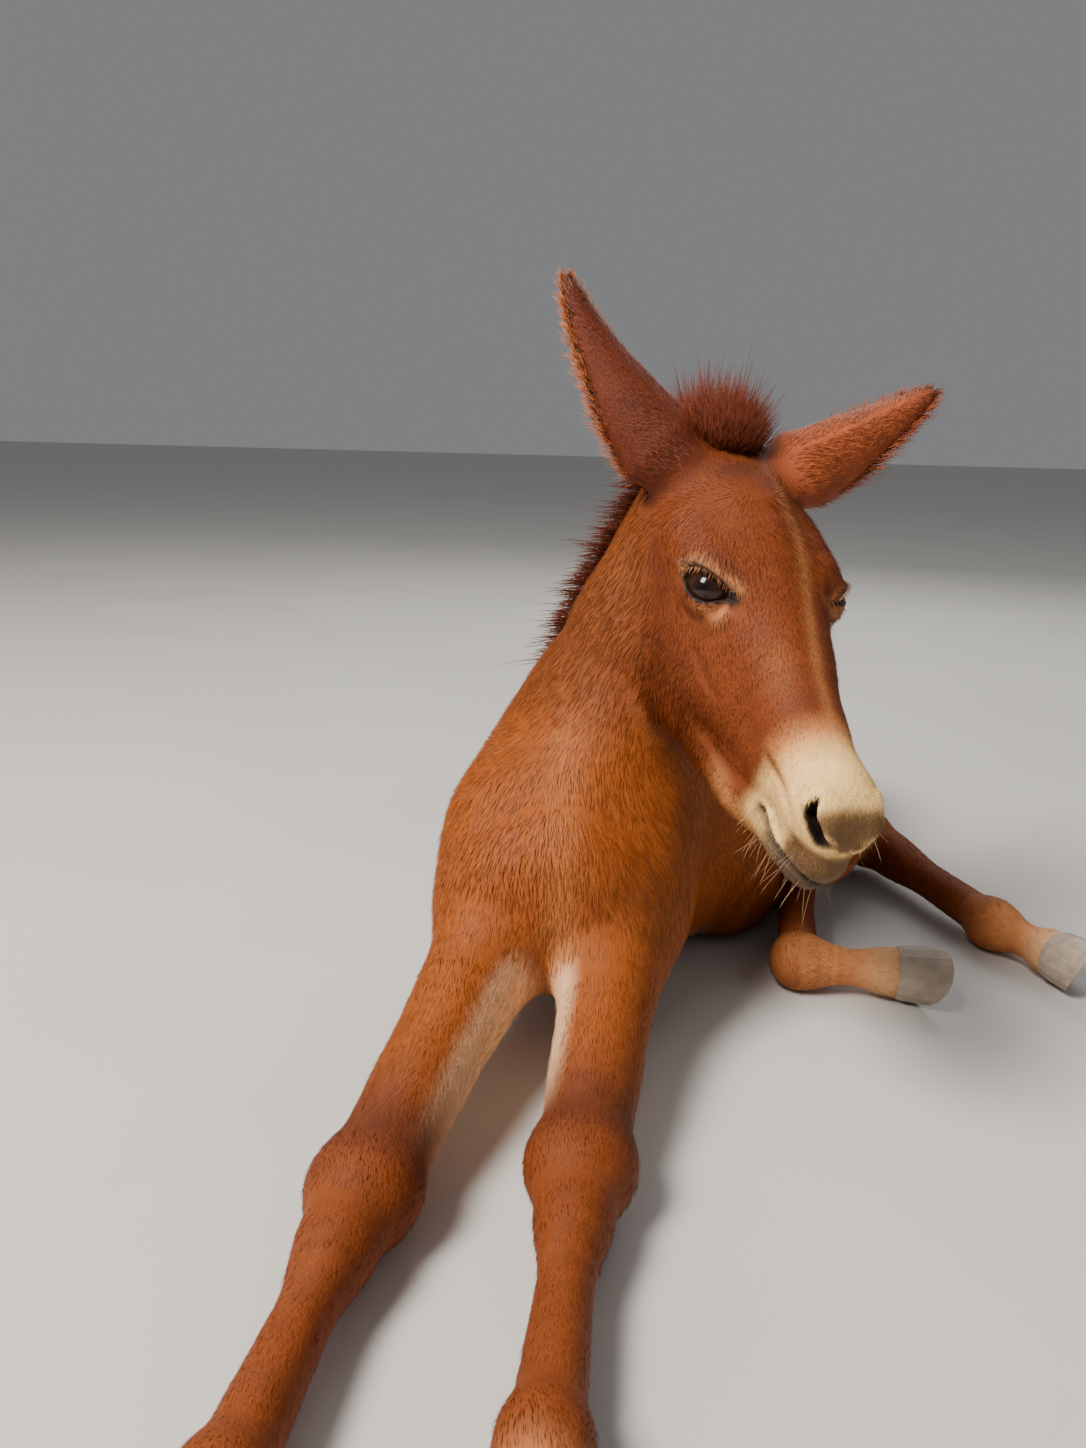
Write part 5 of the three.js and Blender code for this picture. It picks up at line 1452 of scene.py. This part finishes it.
def eye_piece(name, side):
    gaze = GAZE * np.array((1, -side, 1))
    first = unit(np.cross(gaze, (0, 0, 1)))
    second = np.cross(gaze, first)
    row, column = (x.ravel()[:, None] for x in np.indices((EYE_ROWS + 1, EYE_ROUND)))
    a, b = math.pi * row / EYE_ROWS, 2 * math.pi * column / EYE_ROUND
    d = gaze * np.cos(a) + (first * np.cos(b) + second * np.sin(b)) * np.sin(a)
    points = d * (EYE_RADIUS + 0.8 * bell(a, 0, 0.5))
    pupil, white = bell(a, 0, 0.42), np.clip((a - 1.05) / 0.25, 0, 1)
    colours = (IRIS * (1 - pupil) + PUPIL * pupil) * (1 - white) + EYE_WHITE * white
    i = np.arange(EYE_ROUND)
    j = (i + 1) % EYE_ROUND
    a = np.arange(EYE_ROWS)[:, None] * EYE_ROUND
    b = a + EYE_ROUND
    faces = np.stack([a + i, b + i, b + j, a + j], 2).reshape(-1, 4)
    if side > 0:
        faces = faces[:, ::-1]
    u = (faces % EYE_ROUND) / EYE_ROUND
    u = np.where((u == 0) & (u.max(1)[:, None] > 0.6), 1.0, u)
    uv = np.stack([u, (faces // EYE_ROUND) / EYE_ROWS], 2).reshape(-1, 2)
    at = HEAD_AT + (points + eye_centre(side)) @ HEAD_AXES
    eye = mesh_piece(name, to_frame(at), faces, uv * 0.98 + 0.01, colours)
    finish_piece(eye, EYE_FINISH)
    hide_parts("eye_right" if side < 0 else "eye_left")


EYE_FINISH = material("eye_finish", 0.12, 0.12, 300, 0.35)
eye_piece("eyeball_right", -1)
eye_piece("eyeball_left", 1)

# Lashes on the upper lid and long feelers on the lips and chin.
lash_root, lash_way, lash_end = [], [], []
for side in (-1, 1):
    flip = np.array((1, -side, 1))
    squint, back = (LEFT_SQUINT, LEFT_BACK) if side > 0 else (1, 0)
    for i in range(LASHES):
        s = -0.9 + 1.75 * i / (LASHES - 1) + 0.02 * rng.normal()
        rise = LID_HIGH * math.sqrt(max(1 - s * s, 0)) * (1 - 0.18 * s) * squint + 0.06
        along = LID_OPEN * s - back
        ahead = math.sqrt(max(1 - along ** 2 - rise ** 2, 0.05))
        d = unit(GAZE * ahead + CANTHUS * along + LID_UP * rise)
        lash_root.append(HEAD_AT + (eye_centre(side) + d * 23 * flip) @ HEAD_AXES)
        tilt = d * 0.9 + GAZE * 0.5 + CANTHUS * (s * 0.5) + rng.normal(0, 0.08, 3)
        lash_way.append(((tilt - LID_UP * 0.35) * flip) @ HEAD_AXES)
        lash_end.append(((tilt * 0.7 + LID_UP * 0.35) * flip) @ HEAD_AXES)
lash_root, lash_way, lash_end = (np.array(a) for a in (lash_root, lash_way, lash_end))
side_of = rows_unit(np.cross(lash_way, lash_end))
lash_length = rng.uniform(8, 12, len(lash_root)) * np.repeat((1.0, 0.4), LASHES)
hair_piece("lashes", lash_root, side_of, lash_way, lash_end, lash_length, 0.45, 0.1,
           linear((120, 96, 84)), "head", rings=3, tip=1.5)

on = np.nonzero(hair_part == PART["head"])[0]
h = to_head(hair_at[on])
chin = on[(h[:, 0] > 290) & (h[:, 2] < -86)]
nose = on[(h[:, 0] > 315) & (h[:, 2] > -86) & (np.abs(h[:, 1]) > 14)]
chosen = np.concatenate([rng.choice(chin, FEELERS[0]), rng.choice(nose, FEELERS[1])])
way = hair_out[chosen] + 0.4 * hair_way[chosen] + jitter(len(chosen), 0.15)
end_way = way * 0.8 + np.array((0, 0, -0.5))
hair_piece("feelers", hair_at[chosen], hair_way[chosen], way, end_way, rng.uniform(9, 24, len(chosen)),
           0.3, 0.1, linear((200, 160, 120)), "head", rings=4, tip=1.2)


# Hooves: small and grey, with a fine bump over their wall.
HOOF_GREY = linear((166, 150, 132))
HOOF_FINISH = material("hoof_finish", 0.6, 0.18, 90, bump=0.35, bump_scale=160, colour=HOOF_GREY)
for end in ("fore", "hind"):
    for side in ("right", "left"):
        finishes = bpy.data.objects[f"hoof_{end}_{side}"].data.materials
        finishes.clear()
        finishes.append(HOOF_FINISH)


# The floor, the light and the camera of the photograph. Their places and sizes are in metres, but for the
# camera's height.
FLOOR_HALF = 30.0
FLOOR_DROP = 0.002
LIGHTS = (
    ("key_light", (-2.0, -1.5, 2.8), (0, 0, 0.25), 1.2, 235, (1, 0.95, 0.88)),
    ("fill_light", (2.4, -1.4, 1.6), (0, 0, 0.3), 2.5, 5, (0.95, 0.97, 1)),
    ("back_light", (0.8, 2.4, 2.2), (0, 0, 0.3), 2.0, 36, (1, 0.98, 0.95)),
)
floor_mesh = bpy.data.meshes.new("floor")
corners = [(x * FLOOR_HALF, y * FLOOR_HALF, -FLOOR_DROP) for x, y in ((-1, -1), (1, -1), (1, 1), (-1, 1))]
floor_mesh.from_pydata(corners, [], [(0, 1, 2, 3)])
floor_mesh.materials.append(material("floor_finish", 0.9, 0.03, 3, colour=(0.62, 0.60, 0.57)))
floor = add_object("floor", floor_mesh)

for name, at, target, size, power, colour in LIGHTS:
    data = bpy.data.lights.new(name, "AREA")
    data.size = size
    data.energy = power
    data.color = colour
    lamp = add_object(name, data)
    lamp.location = at
    lamp.rotation_mode = "QUATERNION"
    lamp.rotation_quaternion = (Vector(target) - Vector(at)).to_track_quat("-Z", "Y")

world = bpy.data.worlds.new("studio")
world.use_nodes = True
world.node_tree.nodes["Background"].inputs["Color"].default_value = (0.90, 0.92, 0.95, 1)
world.node_tree.nodes["Background"].inputs["Strength"].default_value = 0.24
bpy.context.scene.world = world

LENS = 26.73
CAMERA_HEIGHT = 520
CAMERA_PITCH = 15.0
CAMERA_ROLL = 1.5
camera_data = bpy.data.cameras.new("camera")
camera_data.sensor_fit = "VERTICAL"
camera_data.sensor_height = 36
camera_data.sensor_width = 36
camera_data.lens = LENS
camera_data.clip_start = 0.02
camera = add_object("camera", camera_data)
bpy.context.scene.camera = camera
pitch, roll = math.radians(CAMERA_PITCH), math.radians(CAMERA_ROLL)
ahead = np.array((0, math.cos(pitch), -math.sin(pitch)))
down = np.array((0, -math.sin(pitch), -math.cos(pitch)))
right = np.array((1.0, 0, 0))
camera_right = math.cos(roll) * right - math.sin(roll) * down
camera_down = math.sin(roll) * right + math.cos(roll) * down
place = to_frame((0, 0, CAMERA_HEIGHT))
rows = [[float(x) for x in row] for row in zip(camera_right, -camera_down, -ahead, place)]
camera.matrix_world = Matrix(rows + [[0, 0, 0, 1]])
